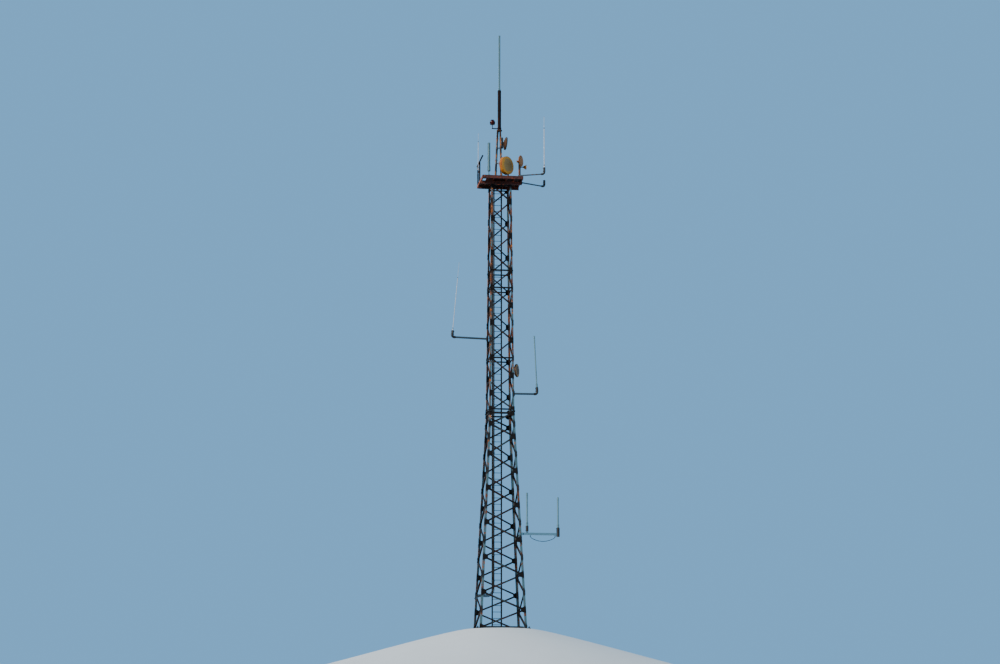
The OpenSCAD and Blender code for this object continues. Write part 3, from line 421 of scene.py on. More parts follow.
@dataclass
class Effects:
    """The node groups that the finishes share: what weather and rust do to a surface, with painted shade at the
    bracing joints and painted sunlight on the side that faces the key light.
    """

    broad_scale: float = 0.9
    patch_scale: float = 7.0
    grain_scale: float = 70.0
    run_off: Point = (16.0, 16.0, 0.9)
    # The side that faces -x, where the wind and the key light come from: its mask is weathering and painted
    # sunlight at once.
    lit_wind_x: float = -0.9
    lit_wind_y: float = -0.15
    lit_windward: Span = (0.2, 0.7)
    joint_noise: float = 9.0
    joint_ragged: float = 0.14
    joint_edge: Span = (1.0, 0.45)
    broad_weight: float = 1.3
    patch_weight: float = 1.5
    lit_windward_weight: float = 0.24
    aloft_heights: Span = (8.5, 13.5)
    rust_edge: Span = (-0.09, 0.09)
    heavy_rust: Span = (0.05, 0.42)
    heavy_share: float = 0.45
    grain_edge: Span = (0.35, 0.65)
    fresh_lit_windward: float = 0.16
    fresh_edge: Span = (0.53, 0.68)
    fresh_heights: Span = (6.0, 12.5)
    fresh_below: float = 0.3
    relief_sound: float = 0.15
    weather: bpy.types.NodeTree = field(init=False)
    joints: bpy.types.NodeTree = field(init=False)
    corrosion: bpy.types.NodeTree = field(init=False)

    def __post_init__(self) -> None:
        """Builds every group once."""
        self.weather = self._weather()
        self.joints = self._joints()
        self.corrosion = self._corrosion()

    @staticmethod
    def _start(name: str, inputs: dict[str, Kind], outputs: dict[str, Kind]) -> tuple[Graph, Any, Any]:
        """Starts a group.

        Args:
            name: The group's name.
            inputs: Names and kinds of its inputs.
            outputs: Names and kinds of its outputs.

        Returns:
            The group's graph, its input node's outputs and its output node's inputs.
        """
        tree = bpy.data.node_groups.new(name, "ShaderNodeTree")
        for way, sockets in (("INPUT", inputs), ("OUTPUT", outputs)):
            for title, kind in sockets.items():
                tree.interface.new_socket(name=title, in_out=way, socket_type=kind.value)
        return Graph(tree), tree.nodes.new("NodeGroupInput").outputs, tree.nodes.new("NodeGroupOutput").inputs

    def _weather(self) -> bpy.types.NodeTree:
        """Builds the group of weathering masks: broad areas, patches, grain, run-off, and the windward side
        that faces the key light, which also paints sunlight.

        Returns:
            The group.
        """
        outputs = dict.fromkeys(("Broad", "Patch", "Grain", "Streak", "LitWindward"), Kind.VALUE)
        graph, given, result = self._start("weather_masks", {"Scale": Kind.VALUE}, outputs)
        scale = given["Scale"]
        where = graph.where()
        stretched = graph.add("VectorMath", {0: where, 1: self.run_off}, operation="MULTIPLY").outputs[0]
        # How far each face turns towards the wind and the key light; colouring that side is painted sunlight as
        # well as weathering.
        turn = graph.facing()
        aside = graph.math("MULTIPLY", turn[1], self.lit_wind_y)
        facing = graph.math("MULTIPLY_ADD", turn[0], self.lit_wind_x, aside)
        masks = {
            "Broad": graph.noise(where, graph.math("MULTIPLY", scale, self.broad_scale), 3.0),
            "Patch": graph.noise(where, graph.math("MULTIPLY", scale, self.patch_scale), 5.0, 0.6),
            "Grain": graph.noise(where, graph.math("MULTIPLY", scale, self.grain_scale), 4.0, 0.65),
            "Streak": graph.noise(stretched, scale, 4.0, 0.55),
            "LitWindward": graph.span(facing, *self.lit_windward),
        }
        for name, mask in masks.items():
            graph.feed(result[name], mask)
        return graph.tree

    def _joints(self) -> bpy.types.NodeTree:
        """Builds the group that paints shade where the bracing meets the legs, bay by bay: a darker band at
        each joint's height.

        Returns:
            The group.
        """
        graph, given, result = self._start("joint_painted_shade", {"Reach": Kind.VALUE}, {"Grime": Kind.VALUE})
        where = graph.where()
        height = graph.parts(where)[2]
        ragged = graph.centred(graph.noise(where, self.joint_noise, 3.0), self.joint_ragged)
        tower = Tower()
        short_z = tower.foot_node + tower.lower_bays * tower.lower_bay
        bands = (
            (tower.foot_node, tower.lower_bay),
            (short_z, tower.short_bay),
            (tower.knuckle_z, tower.upper_bay),
        )
        distance = None
        for start, bay in bands:
            offset = graph.math("SUBTRACT", height, start)
            near = graph.math("PINGPONG", offset, bay / 2)
            if distance is None:
                distance = near
                continue
            above = graph.math("GREATER_THAN", offset, 0.0)
            distance = graph.add("Mix", {0: above, 2: distance, 3: near}, data_type="FLOAT").outputs[0]
        share = graph.math("DIVIDE", graph.math("ADD", distance, ragged), given["Reach"])
        graph.feed(result["Grime"], graph.span(share, *self.joint_edge))
        return graph.tree

    def _corrosion(self) -> bpy.types.NodeTree:
        """Builds the group that breaks a coating up into rust, fresh rust and dark grime.

        Returns:
            The group.
        """
        colours = dict.fromkeys(("Sound", "Dull", "Rust", "Fresh", "Dark"), Kind.COLOUR)
        shares = dict.fromkeys(("Coverage", "Aloft", "Streaks", "Grime", "Reach", "Scale"), Kind.VALUE)
        outputs = {"Color": Kind.COLOUR, "Rust": Kind.VALUE, "Height": Kind.VALUE}
        graph, given, result = self._start("corrosion", colours | shares, outputs)
        masks = graph.group(self.weather, Scale=given["Scale"])
        height = graph.parts(graph.where())[2]
        # Painted shade at the bracing joints, where the members crowd together.
        grime_and_shade = graph.group(self.joints, Reach=given["Reach"])[0]
        total = graph.centred(masks["Broad"], self.broad_weight)
        total = graph.math("ADD", total, graph.centred(masks["Patch"], self.patch_weight))
        streak = graph.math("MULTIPLY", graph.math("SUBTRACT", masks["Streak"], 0.5), given["Streaks"])
        total = graph.math("ADD", total, streak)
        # More rust on the side that faces the key light: weathering and painted sunlight.
        total = graph.math("ADD", total, graph.math("MULTIPLY", masks["LitWindward"], self.lit_windward_weight))
        aloft = graph.span(height, *self.aloft_heights)
        total = graph.math("ADD", total, graph.math("MULTIPLY", aloft, given["Aloft"]))
        total = graph.math("ADD", total, given["Coverage"])
        rust = graph.span(total, *self.rust_edge)
        heavy = graph.span(total, *self.heavy_rust)
        coating = graph.blend(graph.span(masks["Grain"], *self.grain_edge), given["Sound"], given["Dull"])
        # More fresh orange rust on that lit side: painted sunlight on the rust.
        lively = graph.math("ADD", masks["Patch"], graph.math("MULTIPLY", masks["LitWindward"], self.fresh_lit_windward))
        lively = graph.span(lively, *self.fresh_edge)
        rising = graph.span(height, *self.fresh_heights, self.fresh_below, 1.0)
        lively = graph.math("MULTIPLY", lively, rising)
        eaten = graph.blend(lively, given["Rust"], given["Fresh"])
        eaten = graph.blend(graph.math("MULTIPLY", heavy, self.heavy_share), eaten, given["Dark"])
        colour = graph.blend(rust, coating, eaten)
        # Darkens the joint bands towards the dark colour: painted shade.
        colour = graph.blend(graph.math("MULTIPLY", grime_and_shade, given["Grime"]), colour, given["Dark"])
        relief = graph.math("MULTIPLY_ADD", rust, 1 - self.relief_sound, self.relief_sound)
        graph.feed(result["Color"], colour)
        graph.feed(result["Rust"], rust)
        graph.feed(result["Height"], graph.math("MULTIPLY", masks["Grain"], relief))
        return graph.tree


def new_material(name: str) -> tuple[bpy.types.Material, Graph]:
    """Starts a material.

    Args:
        name: The material's name.

    Returns:
        The material and the graph of its empty tree.
    """
    material = bpy.data.materials.new(name)
    material.use_nodes = True
    material.node_tree.nodes.clear()
    return material, Graph(material.node_tree)


def shade(graph: Graph, feeds: dict[str, Any], relief: Any, depth: float) -> None:
    """Ends a material with its Principled BSDF and bump.

    Args:
        graph: The material's graph.
        feeds: Inputs of the Principled BSDF.
        relief: Socket of the relief, from 0 to 1.
        depth: Depth of the relief.
    """
    bump = graph.add("Bump", {"Strength": 1.0, "Distance": depth, "Height": relief})
    shader = graph.add("BsdfPrincipled", feeds | {"Normal": bump.outputs[0]})
    graph.add("OutputMaterial", {"Surface": shader.outputs[0]})


@dataclass(frozen=True)
class Finish:
    """What every finish has: a name, the record's slot and a way to build its material."""

    name: str
    slot: Slot

    def build(self, effects: Effects) -> bpy.types.Material:
        """Builds the material.

        Args:
            effects: The shared node groups.

        Returns:
            The material.
        """
        material, graph = new_material(self.name)
        self.draw(graph, effects)
        return material

    def draw(self, graph: Graph, effects: Effects) -> None:
        """Draws the material's nodes, in each finish's own way."""
        raise NotImplementedError


@dataclass(frozen=True)
class Steel(Finish):
    """Steel under zinc or paint that has partly gone to rust."""

    sound: Colour
    dull: Colour
    rust: Colour
    fresh: Colour
    dark: Colour
    coverage: float
    aloft: float = 0.0
    streaks: float = 0.8
    # Strength of the painted shade at the bracing joints.
    grime_and_shade: float = 0.0
    reach: float = 0.2
    scale: float = 1.0
    roughness: float = 0.45
    rust_roughness: float = 0.88
    metal: float = 0.0
    gloss: float = 0.5
    depth: float = 0.0012
    tread: bool = False
    lozenge: float = 110.0
    lozenge_edge: Span = (0.55, 0.8)
    lozenge_height: float = 1.6
    looks_up: float = 0.5

    def draw(self, graph: Graph, effects: Effects) -> None:
        """Draws the nodes.

        Args:
            graph: The material's graph.
            effects: The shared node groups.
        """
        layers = graph.group(
            effects.corrosion,
            Sound=self.sound,
            Dull=self.dull,
            Rust=self.rust,
            Fresh=self.fresh,
            Dark=self.dark,
            Coverage=self.coverage,
            Aloft=self.aloft,
            Streaks=self.streaks,
            Grime=self.grime_and_shade,
            Reach=self.reach,
            Scale=self.scale,
        )
        relief = layers["Height"]
        if self.tread:
            relief = graph.math("ADD", relief, self._tread(graph))
        feeds = {
            "Base Color": layers["Color"],
            "Roughness": graph.span(layers["Rust"], 0.0, 1.0, self.roughness, self.rust_roughness),
            "Metallic": graph.span(layers["Rust"], 0.0, 1.0, self.metal, 0.0),
            "Specular IOR Level": self.gloss,
        }
        shade(graph, feeds, relief, self.depth)

    def _tread(self, graph: Graph) -> bpy.types.NodeSocket:
        """Raises the lozenges of tread plate on faces that look up.

        Args:
            graph: The material's graph.

        Returns:
            Socket of the lozenges' relief.
        """
        where = graph.parts(graph.where())
        up = graph.facing()[2]
        bars = []
        for sign in (1.0, -1.0):
            waves = []
            for way, pitch in ((sign, self.lozenge), (-sign, self.lozenge / 2)):
                slant = graph.math("MULTIPLY_ADD", where[1], way, where[0])
                waves.append(graph.math("SINE", graph.math("MULTIPLY", slant, pitch)))
            bars.append(graph.span(graph.math("MULTIPLY", *waves), *self.lozenge_edge))
        raised = graph.math("MULTIPLY", graph.math("MAXIMUM", *bars), self.lozenge_height)
        return graph.math("MULTIPLY", raised, graph.math("GREATER_THAN", up, self.looks_up))


@dataclass(frozen=True)
class Rod(Finish):
    """Glass fibre of an antenna, chalky and streaked by the weather."""

    clean: Colour
    chalk: Colour
    grime_and_shade: Colour
    scale: float = 2.0
    chalky: Span = (0.4, 0.62)
    streaked: Span = (0.5, 0.72)
    most_grime: float = 0.7
    worn: Span = (0.35, 0.65)
    roughness: Span = (0.38, 0.7)
    depth: float = 0.0003

    def draw(self, graph: Graph, effects: Effects) -> None:
        """Draws the nodes.

        Args:
            graph: The material's graph.
            effects: The shared node groups.
        """
        masks = graph.group(effects.weather, Scale=self.scale)
        colour = graph.blend(graph.span(masks["Patch"], *self.chalky), self.clean, self.chalk)
        streak = graph.span(masks["Streak"], *self.streaked, 0.0, self.most_grime)
        colour = graph.blend(streak, colour, self.grime_and_shade)
        feeds = {"Base Color": colour, "Roughness": graph.span(masks["Patch"], *self.worn, *self.roughness)}
        shade(graph, feeds, masks["Grain"], self.depth)


@dataclass(frozen=True)
class Rubber(Finish):
    """Black cable jacket with dust along its top."""

    black: Colour
    dust: Colour
    scale: float = 3.0
    lie: float = 0.12
    dusty: Span = (0.5, 0.78)
    most_dust: float = 0.75
    worn: Span = (0.4, 0.75)
    roughness: Span = (0.42, 0.85)
    depth: float = 0.0005

    def draw(self, graph: Graph, effects: Effects) -> None:
        """Draws the nodes.

        Args:
            graph: The material's graph.
            effects: The shared node groups.
        """
        masks = graph.group(effects.weather, Scale=self.scale)
        up = graph.facing()[2]
        settled = graph.math("ADD", masks["Patch"], graph.math("MULTIPLY", up, self.lie))
        colour = graph.blend(graph.span(settled, *self.dusty, 0.0, self.most_dust), self.black, self.dust)
        feeds = {"Base Color": colour, "Roughness": graph.span(settled, *self.worn, *self.roughness)}
        shade(graph, feeds, masks["Grain"], self.depth)


@dataclass(frozen=True)
class Lens(Finish):
    """Dark red glass of the obstruction lamp under a film of dust."""

    glass: Colour
    deep: Colour
    dust: Colour
    scale: float = 4.0
    thick: Span = (0.35, 0.65)
    streaked: Span = (0.52, 0.8)
    most_dust: float = 0.5
    worn: Span = (0.35, 0.7)
    roughness: Span = (0.2, 0.5)
    gloss: float = 0.3
    coat: float = 0.15
    coat_roughness: float = 0.1
    depth: float = 0.0002

    def draw(self, graph: Graph, effects: Effects) -> None:
        """Draws the nodes.

        Args:
            graph: The material's graph.
            effects: The shared node groups.
        """
        masks = graph.group(effects.weather, Scale=self.scale)
        colour = graph.blend(graph.span(masks["Broad"], *self.thick), self.glass, self.deep)
        dusty = graph.span(masks["Streak"], *self.streaked, 0.0, self.most_dust)
        colour = graph.blend(dusty, colour, self.dust)
        feeds = {
            "Base Color": colour,
            "Roughness": graph.span(masks["Patch"], *self.worn, *self.roughness),
            "Specular IOR Level": self.gloss,
            "Coat Weight": self.coat,
            "Coat Roughness": self.coat_roughness,
        }
        shade(graph, feeds, masks["Grain"], self.depth)


@dataclass(frozen=True)
class Radome(Finish):
    """Painted cover of a dish's face, faded about its middle."""

    paint: Colour
    faded: Colour
    radius: float
    grime_and_shade: Colour = (0.12, 0.065, 0.025)
    scale: float = 2.5
    ragged: float = 0.5
    fade_edge: Span = (0.82, 0.62)
    most_fade: float = 0.85
    stained: Span = (0.52, 0.72)
    most_stain: float = 0.55
    streaked: Span = (0.55, 0.8)
    most_streak: float = 0.4
    worn: Span = (0.35, 0.7)
    roughness: Span = (0.45, 0.75)
    depth: float = 0.0004

    def draw(self, graph: Graph, effects: Effects) -> None:
        """Draws the nodes.

        Args:
            graph: The material's graph.
            effects: The shared node groups.
        """
        masks = graph.group(effects.weather, Scale=self.scale)
        ragged = graph.centred(masks["Broad"], self.ragged * self.radius)
        away = graph.add("VectorMath", {0: graph.where()}, operation="LENGTH").outputs["Value"]
        middle = graph.span(graph.math("ADD", away, ragged), *(edge * self.radius for edge in self.fade_edge))
        colour = graph.blend(graph.math("MULTIPLY", middle, self.most_fade), self.paint, self.faded)
        stain = graph.span(masks["Patch"], *self.stained, 0.0, self.most_stain)
        colour = graph.blend(stain, colour, self.grime_and_shade)
        streak = graph.span(masks["Streak"], *self.streaked, 0.0, self.most_streak)
        colour = graph.blend(streak, colour, self.grime_and_shade)
        feeds = {"Base Color": colour, "Roughness": graph.span(masks["Patch"], *self.worn, *self.roughness)}
        shade(graph, feeds, masks["Grain"], self.depth)


STEELS = (
    Steel(
        "rusted_steel",
        Slot.RUSTED,
        sound=(0.09, 0.16, 0.18),
        dull=(0.055, 0.094, 0.106),
        rust=(0.085, 0.026, 0.014),
        fresh=(0.46, 0.17, 0.045),
        dark=(0.014, 0.009, 0.007),
        coverage=-0.15,
        aloft=0.21,
        grime_and_shade=0.88,
        reach=0.24,
        metal=0.25,
    ),
    Steel(
        "galvanised_steel",
        Slot.GALVANISED,
        sound=(0.045, 0.066, 0.082),
        dull=(0.028, 0.042, 0.052),
        rust=(0.028, 0.014, 0.01),
        fresh=(0.09, 0.036, 0.016),
        dark=(0.008, 0.007, 0.007),
        coverage=-0.36,
        streaks=1.1,
        scale=1.6,
        roughness=0.55,
        metal=0.2,
        depth=0.0006,
    ),
    Steel(
        "oxide_steel",
        Slot.OXIDE,
        sound=(0.09, 0.02, 0.013),
        dull=(0.055, 0.015, 0.011),
        rust=(0.034, 0.013, 0.01),
        fresh=(0.34, 0.07, 0.018),
        dark=(0.013, 0.008, 0.007),
        coverage=0.0,
        streaks=1.0,
        scale=1.5,
        roughness=0.6,
    ),
    Steel(
        "ochre_paint",
        Slot.OCHRE,
        sound=(0.48, 0.21, 0.024),
        dull=(0.34, 0.14, 0.022),
        rust=(0.13, 0.04, 0.012),
        fresh=(0.36, 0.11, 0.02),
        dark=(0.03, 0.014, 0.008),
        coverage=-0.12,
        streaks=1.2,
        scale=2.2,
        roughness=0.45,
        depth=0.0006,
    ),
    Steel(
        "dark_pole",
        Slot.POLE,
        sound=(0.008, 0.004, 0.004),
        dull=(0.011, 0.005, 0.005),
        rust=(0.022, 0.006, 0.005),
        fresh=(0.05, 0.014, 0.008),
        dark=(0.005, 0.003, 0.003),
        coverage=-0.4,
        streaks=1.0,
        scale=1.8,
        roughness=0.7,
        gloss=0.2,
        depth=0.0006,
    ),
)
LADDER = Steel(
    "blackened_steel",
    Slot.GALVANISED,
    sound=(0.007, 0.008, 0.009),
    dull=(0.004, 0.005, 0.006),
    rust=(0.014, 0.006, 0.004),
    fresh=(0.04, 0.014, 0.007),
    dark=(0.003, 0.003, 0.003),
    coverage=-0.3,
    scale=1.6,
    roughness=0.7,
    gloss=0.2,
)
BRACING = Steel(
    "bracing_steel",
    Slot.RUSTED,
    sound=(0.028, 0.038, 0.04),
    dull=(0.018, 0.024, 0.026),
    rust=(0.026, 0.009, 0.006),
    fresh=(0.13, 0.036, 0.013),
    dark=(0.006, 0.004, 0.004),
    coverage=0.02,
    aloft=0.1,
    grime_and_shade=1.0,
    reach=0.3,
    roughness=0.6,
    gloss=0.35,
)
# A darker copy of the oxide paint for the deck plates: painted shade on the deck's underside, which the pale
# floor would light. Its top keeps the raised tread.
SHADED_TREAD = Steel(
    "oxide_tread_shaded",
    Slot.OXIDE,
    sound=(0.05, 0.01, 0.007),
    dull=(0.03, 0.008, 0.006),
    rust=(0.022, 0.008, 0.005),
    fresh=(0.16, 0.04, 0.012),
    dark=(0.007, 0.004, 0.003),
    coverage=0.05,
    scale=1.7,
    roughness=0.6,
    depth=0.0016,
    tread=True,
)
ZINC = Steel(
    "pale_zinc",
    Slot.GALVANISED,
    sound=(0.15, 0.26, 0.32),
    dull=(0.1, 0.18, 0.225),
    rust=(0.09, 0.06, 0.045),
    fresh=(0.2, 0.11, 0.05),
    dark=(0.04, 0.04, 0.042),
    coverage=-0.5,
    streaks=1.1,
    scale=1.6,
    roughness=0.4,
    metal=0.4,
    depth=0.0006,
)
# A darkened copy of the ochre paint: painted shade on the back of the upper dish, worn also by the middle dish
# and the rim clamps of both.
SHADED_OCHRE = Steel(
    "shade_painted_ochre",
    Slot.OCHRE,
    sound=(0.08, 0.042, 0.014),
    dull=(0.035, 0.024, 0.012),
    rust=(0.014, 0.012, 0.01),
    fresh=(0.09, 0.034, 0.012),
    dark=(0.007, 0.006, 0.006),
    coverage=0.06,
    streaks=1.2,
    scale=2.4,
    roughness=0.5,
    depth=0.0006,
)
BOOT = Rubber("boot_rubber", Slot.POLE, black=(0.009, 0.009, 0.01), dust=(0.04, 0.036, 0.032))
OTHERS = (
    Rod(
        "white_rod",
        Slot.WHITE,
        clean=(0.44, 0.41, 0.42),
        chalk=(0.37, 0.345, 0.355),
        grime_and_shade=(0.28, 0.265, 0.27),
    ),
    Rod(
        "grey_rod",
        Slot.GREY,
        clean=(0.05, 0.105, 0.125),
        chalk=(0.075, 0.14, 0.16),
        grime_and_shade=(0.03, 0.055, 0.06),
    ),
    Rubber("cable_jacket", Slot.JACKET, black=(0.006, 0.007, 0.007), dust=(0.025, 0.028, 0.022)),
    Lens(
        "red_lens",
        Slot.LENS,
        glass=(0.1, 0.004, 0.003),
        deep=(0.03, 0.002, 0.002),
        dust=(0.03, 0.01, 0.008),
    ),
)
PALE_ROD = Rod(
    "pale_grey_rod",
    Slot.GREY,
    clean=(0.085, 0.16, 0.19),
    chalk=(0.11, 0.19, 0.215),
    grime_and_shade=(0.05, 0.085, 0.1),
)


class Finishes:
    """Holds the built material of each slot and of the nodes that differ from it."""

    def __init__(self) -> None:
        """Builds the shared effects and every material."""
        self.effects = Effects()
        self._made = {finish.slot: finish.build(self.effects) for finish in (*STEELS, *OTHERS)}
        self.bracing = BRACING.build(self.effects)
        self.boot = BOOT.build(self.effects)
        self.zinc = ZINC.build(self.effects)
        self.painted_shade = SHADED_OCHRE.build(self.effects)
        pale = PALE_ROD.build(self.effects)
        ladder = LADDER.build(self.effects)
        self._own = {
            # The deck plates wear the darker oxide that paints the shade under the deck.
            "deck_plates": SHADED_TREAD.build(self.effects),
            "antenna_boots": self.boot,
            "ladder": ladder,
            "ladder_stays": ladder,
            "lower_arm": self.zinc,
            "lower_antennas": pale,
            "mid_right_whip": pale,
            # The upper and middle dishes wear the darkened ochre that paints their shade.
            "upper_dish": self.painted_shade,
            "mid_dish": self.painted_shade,
        }

    def __getitem__(self, slot: Slot) -> bpy.types.Material:
        """Returns the material of a slot."""
        return self._made[slot]

    def dress(self, frame: dict[str, Any]) -> None:
        """Gives each CAD node its own finish, or that of the slot that the record names.

        Args:
            frame: The loaded frame, with its record and nodes.
        """
        for entry in frame["record"]["subparts"]:
            node = frame["nodes"][entry["node"]]
            material = self._own.get(entry["node"]) or self[Slot(entry["material_slot"])]
            if entry["node"].endswith("bracing"):
                material = self.bracing
            if not node.material_slots:
                node.data.materials.append(material)
            for socket in node.material_slots:
                socket.material = material
            log.info("%s wears %s", entry["node"], material.name)


@dataclass(frozen=True)
class Tower:
    """The tower's own measures and the frames of its sides."""

    base_half: float = 1.115
    knuckle_half: float = 0.605
    top_half: float = 0.5
    foot_node: float = 0.06
    lower_bay: float = 0.82
    short_bay: float = 0.62
    upper_bay: float = 0.862
    lower_bays: int = 11
    short_bays: int = 2
    upper_bays: int = 13
    end_drop: float = 0.09
    top_drop: float = 0.07
    lower_leg: float = 0.11
    upper_leg: float = 0.09
    gusset_out: float = 0.0083
    rail_seat: float = 0.0086
    deck_top: float = 21.826
    turns: tuple[int, ...] = (0, 90, 180, 270)

    @property
    def lower_levels(self) -> int:
        """Number of bays below the knuckle."""
        return self.lower_bays + self.short_bays

    @property
    def knuckle_z(self) -> float:
        """Height of the knuckle."""
        return self.foot_node + self.lower_bays * self.lower_bay + self.short_bays * self.short_bay

    @property
    def top_z(self) -> float:
        """Height of the top of the legs."""
        return self.knuckle_z + self.upper_bays * self.upper_bay

    @property
    def lower_slope(self) -> float:
        """Inward run of the lower sides for each metre of height."""
        return (self.base_half - self.knuckle_half) / self.knuckle_z

    @property
    def upper_slope(self) -> float:
        """Inward run of the upper sides for each metre of height."""
        return (self.knuckle_half - self.top_half) / (self.top_z - self.knuckle_z)

    @property
    def lower_rise(self) -> float:
        """Height gained for each metre up the slope of a lower side."""
        return math.cos(math.atan(self.lower_slope))

    @property
    def upper_rise(self) -> float:
        """Height gained for each metre up the slope of an upper side."""
        return math.cos(math.atan(self.upper_slope))

    def half(self, z: float) -> float:
        """Returns half of the tower's side at a height.

        Args:
            z: The height.

        Returns:
            Half of the side.
        """
        if z < self.knuckle_z:
            return self.base_half - self.lower_slope * z
        return self.knuckle_half - self.upper_slope * (z - self.knuckle_z)

    def lower_level(self, k: int) -> float:
        """Returns the height of a joint of the lower bracing.

        Args:
            k: Number of the joint from the foot, which is 0.

        Returns:
            The joint's height.
        """
        if k <= self.lower_bays:
            return self.foot_node + k * self.lower_bay
        drop = self.end_drop if k == self.lower_levels else 0.0
        start = self.foot_node + self.lower_bays * self.lower_bay
        return start + (k - self.lower_bays) * self.short_bay - drop

    def upper_level(self, k: int) -> float:
        """Returns the height of a joint of the upper bracing.

        Args:
            k: Number of the joint from the knuckle, which is 0.

        Returns:
            The joint's height.
        """
        lift = self.end_drop if k == 0 else 0.0
        drop = self.top_drop if k == self.upper_bays else 0.0
        return self.knuckle_z + k * self.upper_bay + lift - drop

    def lower_side(self, turn: float) -> Matrix:
        """Returns the frame of a lower side: x along it, y up its slope, z outward."""
        tilt = math.degrees(math.atan(self.lower_slope))
        return spun(turn) @ moved(0, -self.base_half, 0) @ spun(90 - tilt, Axis.X)

    def upper_side(self, turn: float) -> Matrix:
        """Returns the frame of an upper side: x along it, y up its slope from the knuckle, z outward."""
        tilt = math.degrees(math.atan(self.upper_slope))
        return spun(turn) @ moved(0, -self.knuckle_half, self.knuckle_z) @ spun(90 - tilt, Axis.X)

    def on_leg(self, turn: float, x: float, z: float) -> Matrix:
        """Returns a frame on a side at a height: +x outward, +z up the slope.

        Args:
            turn: Degrees from the front side to this one.
            x: Place along the side, from its middle.
            z: The height.

        Returns:
            The frame.
        """
        slope = self.lower_slope if z < self.knuckle_z else self.upper_slope
        tilt = math.degrees(math.atan(slope))
        return spun(turn) @ moved(x, -self.half(z), z) @ spun(-tilt, Axis.X) @ spun(-90)


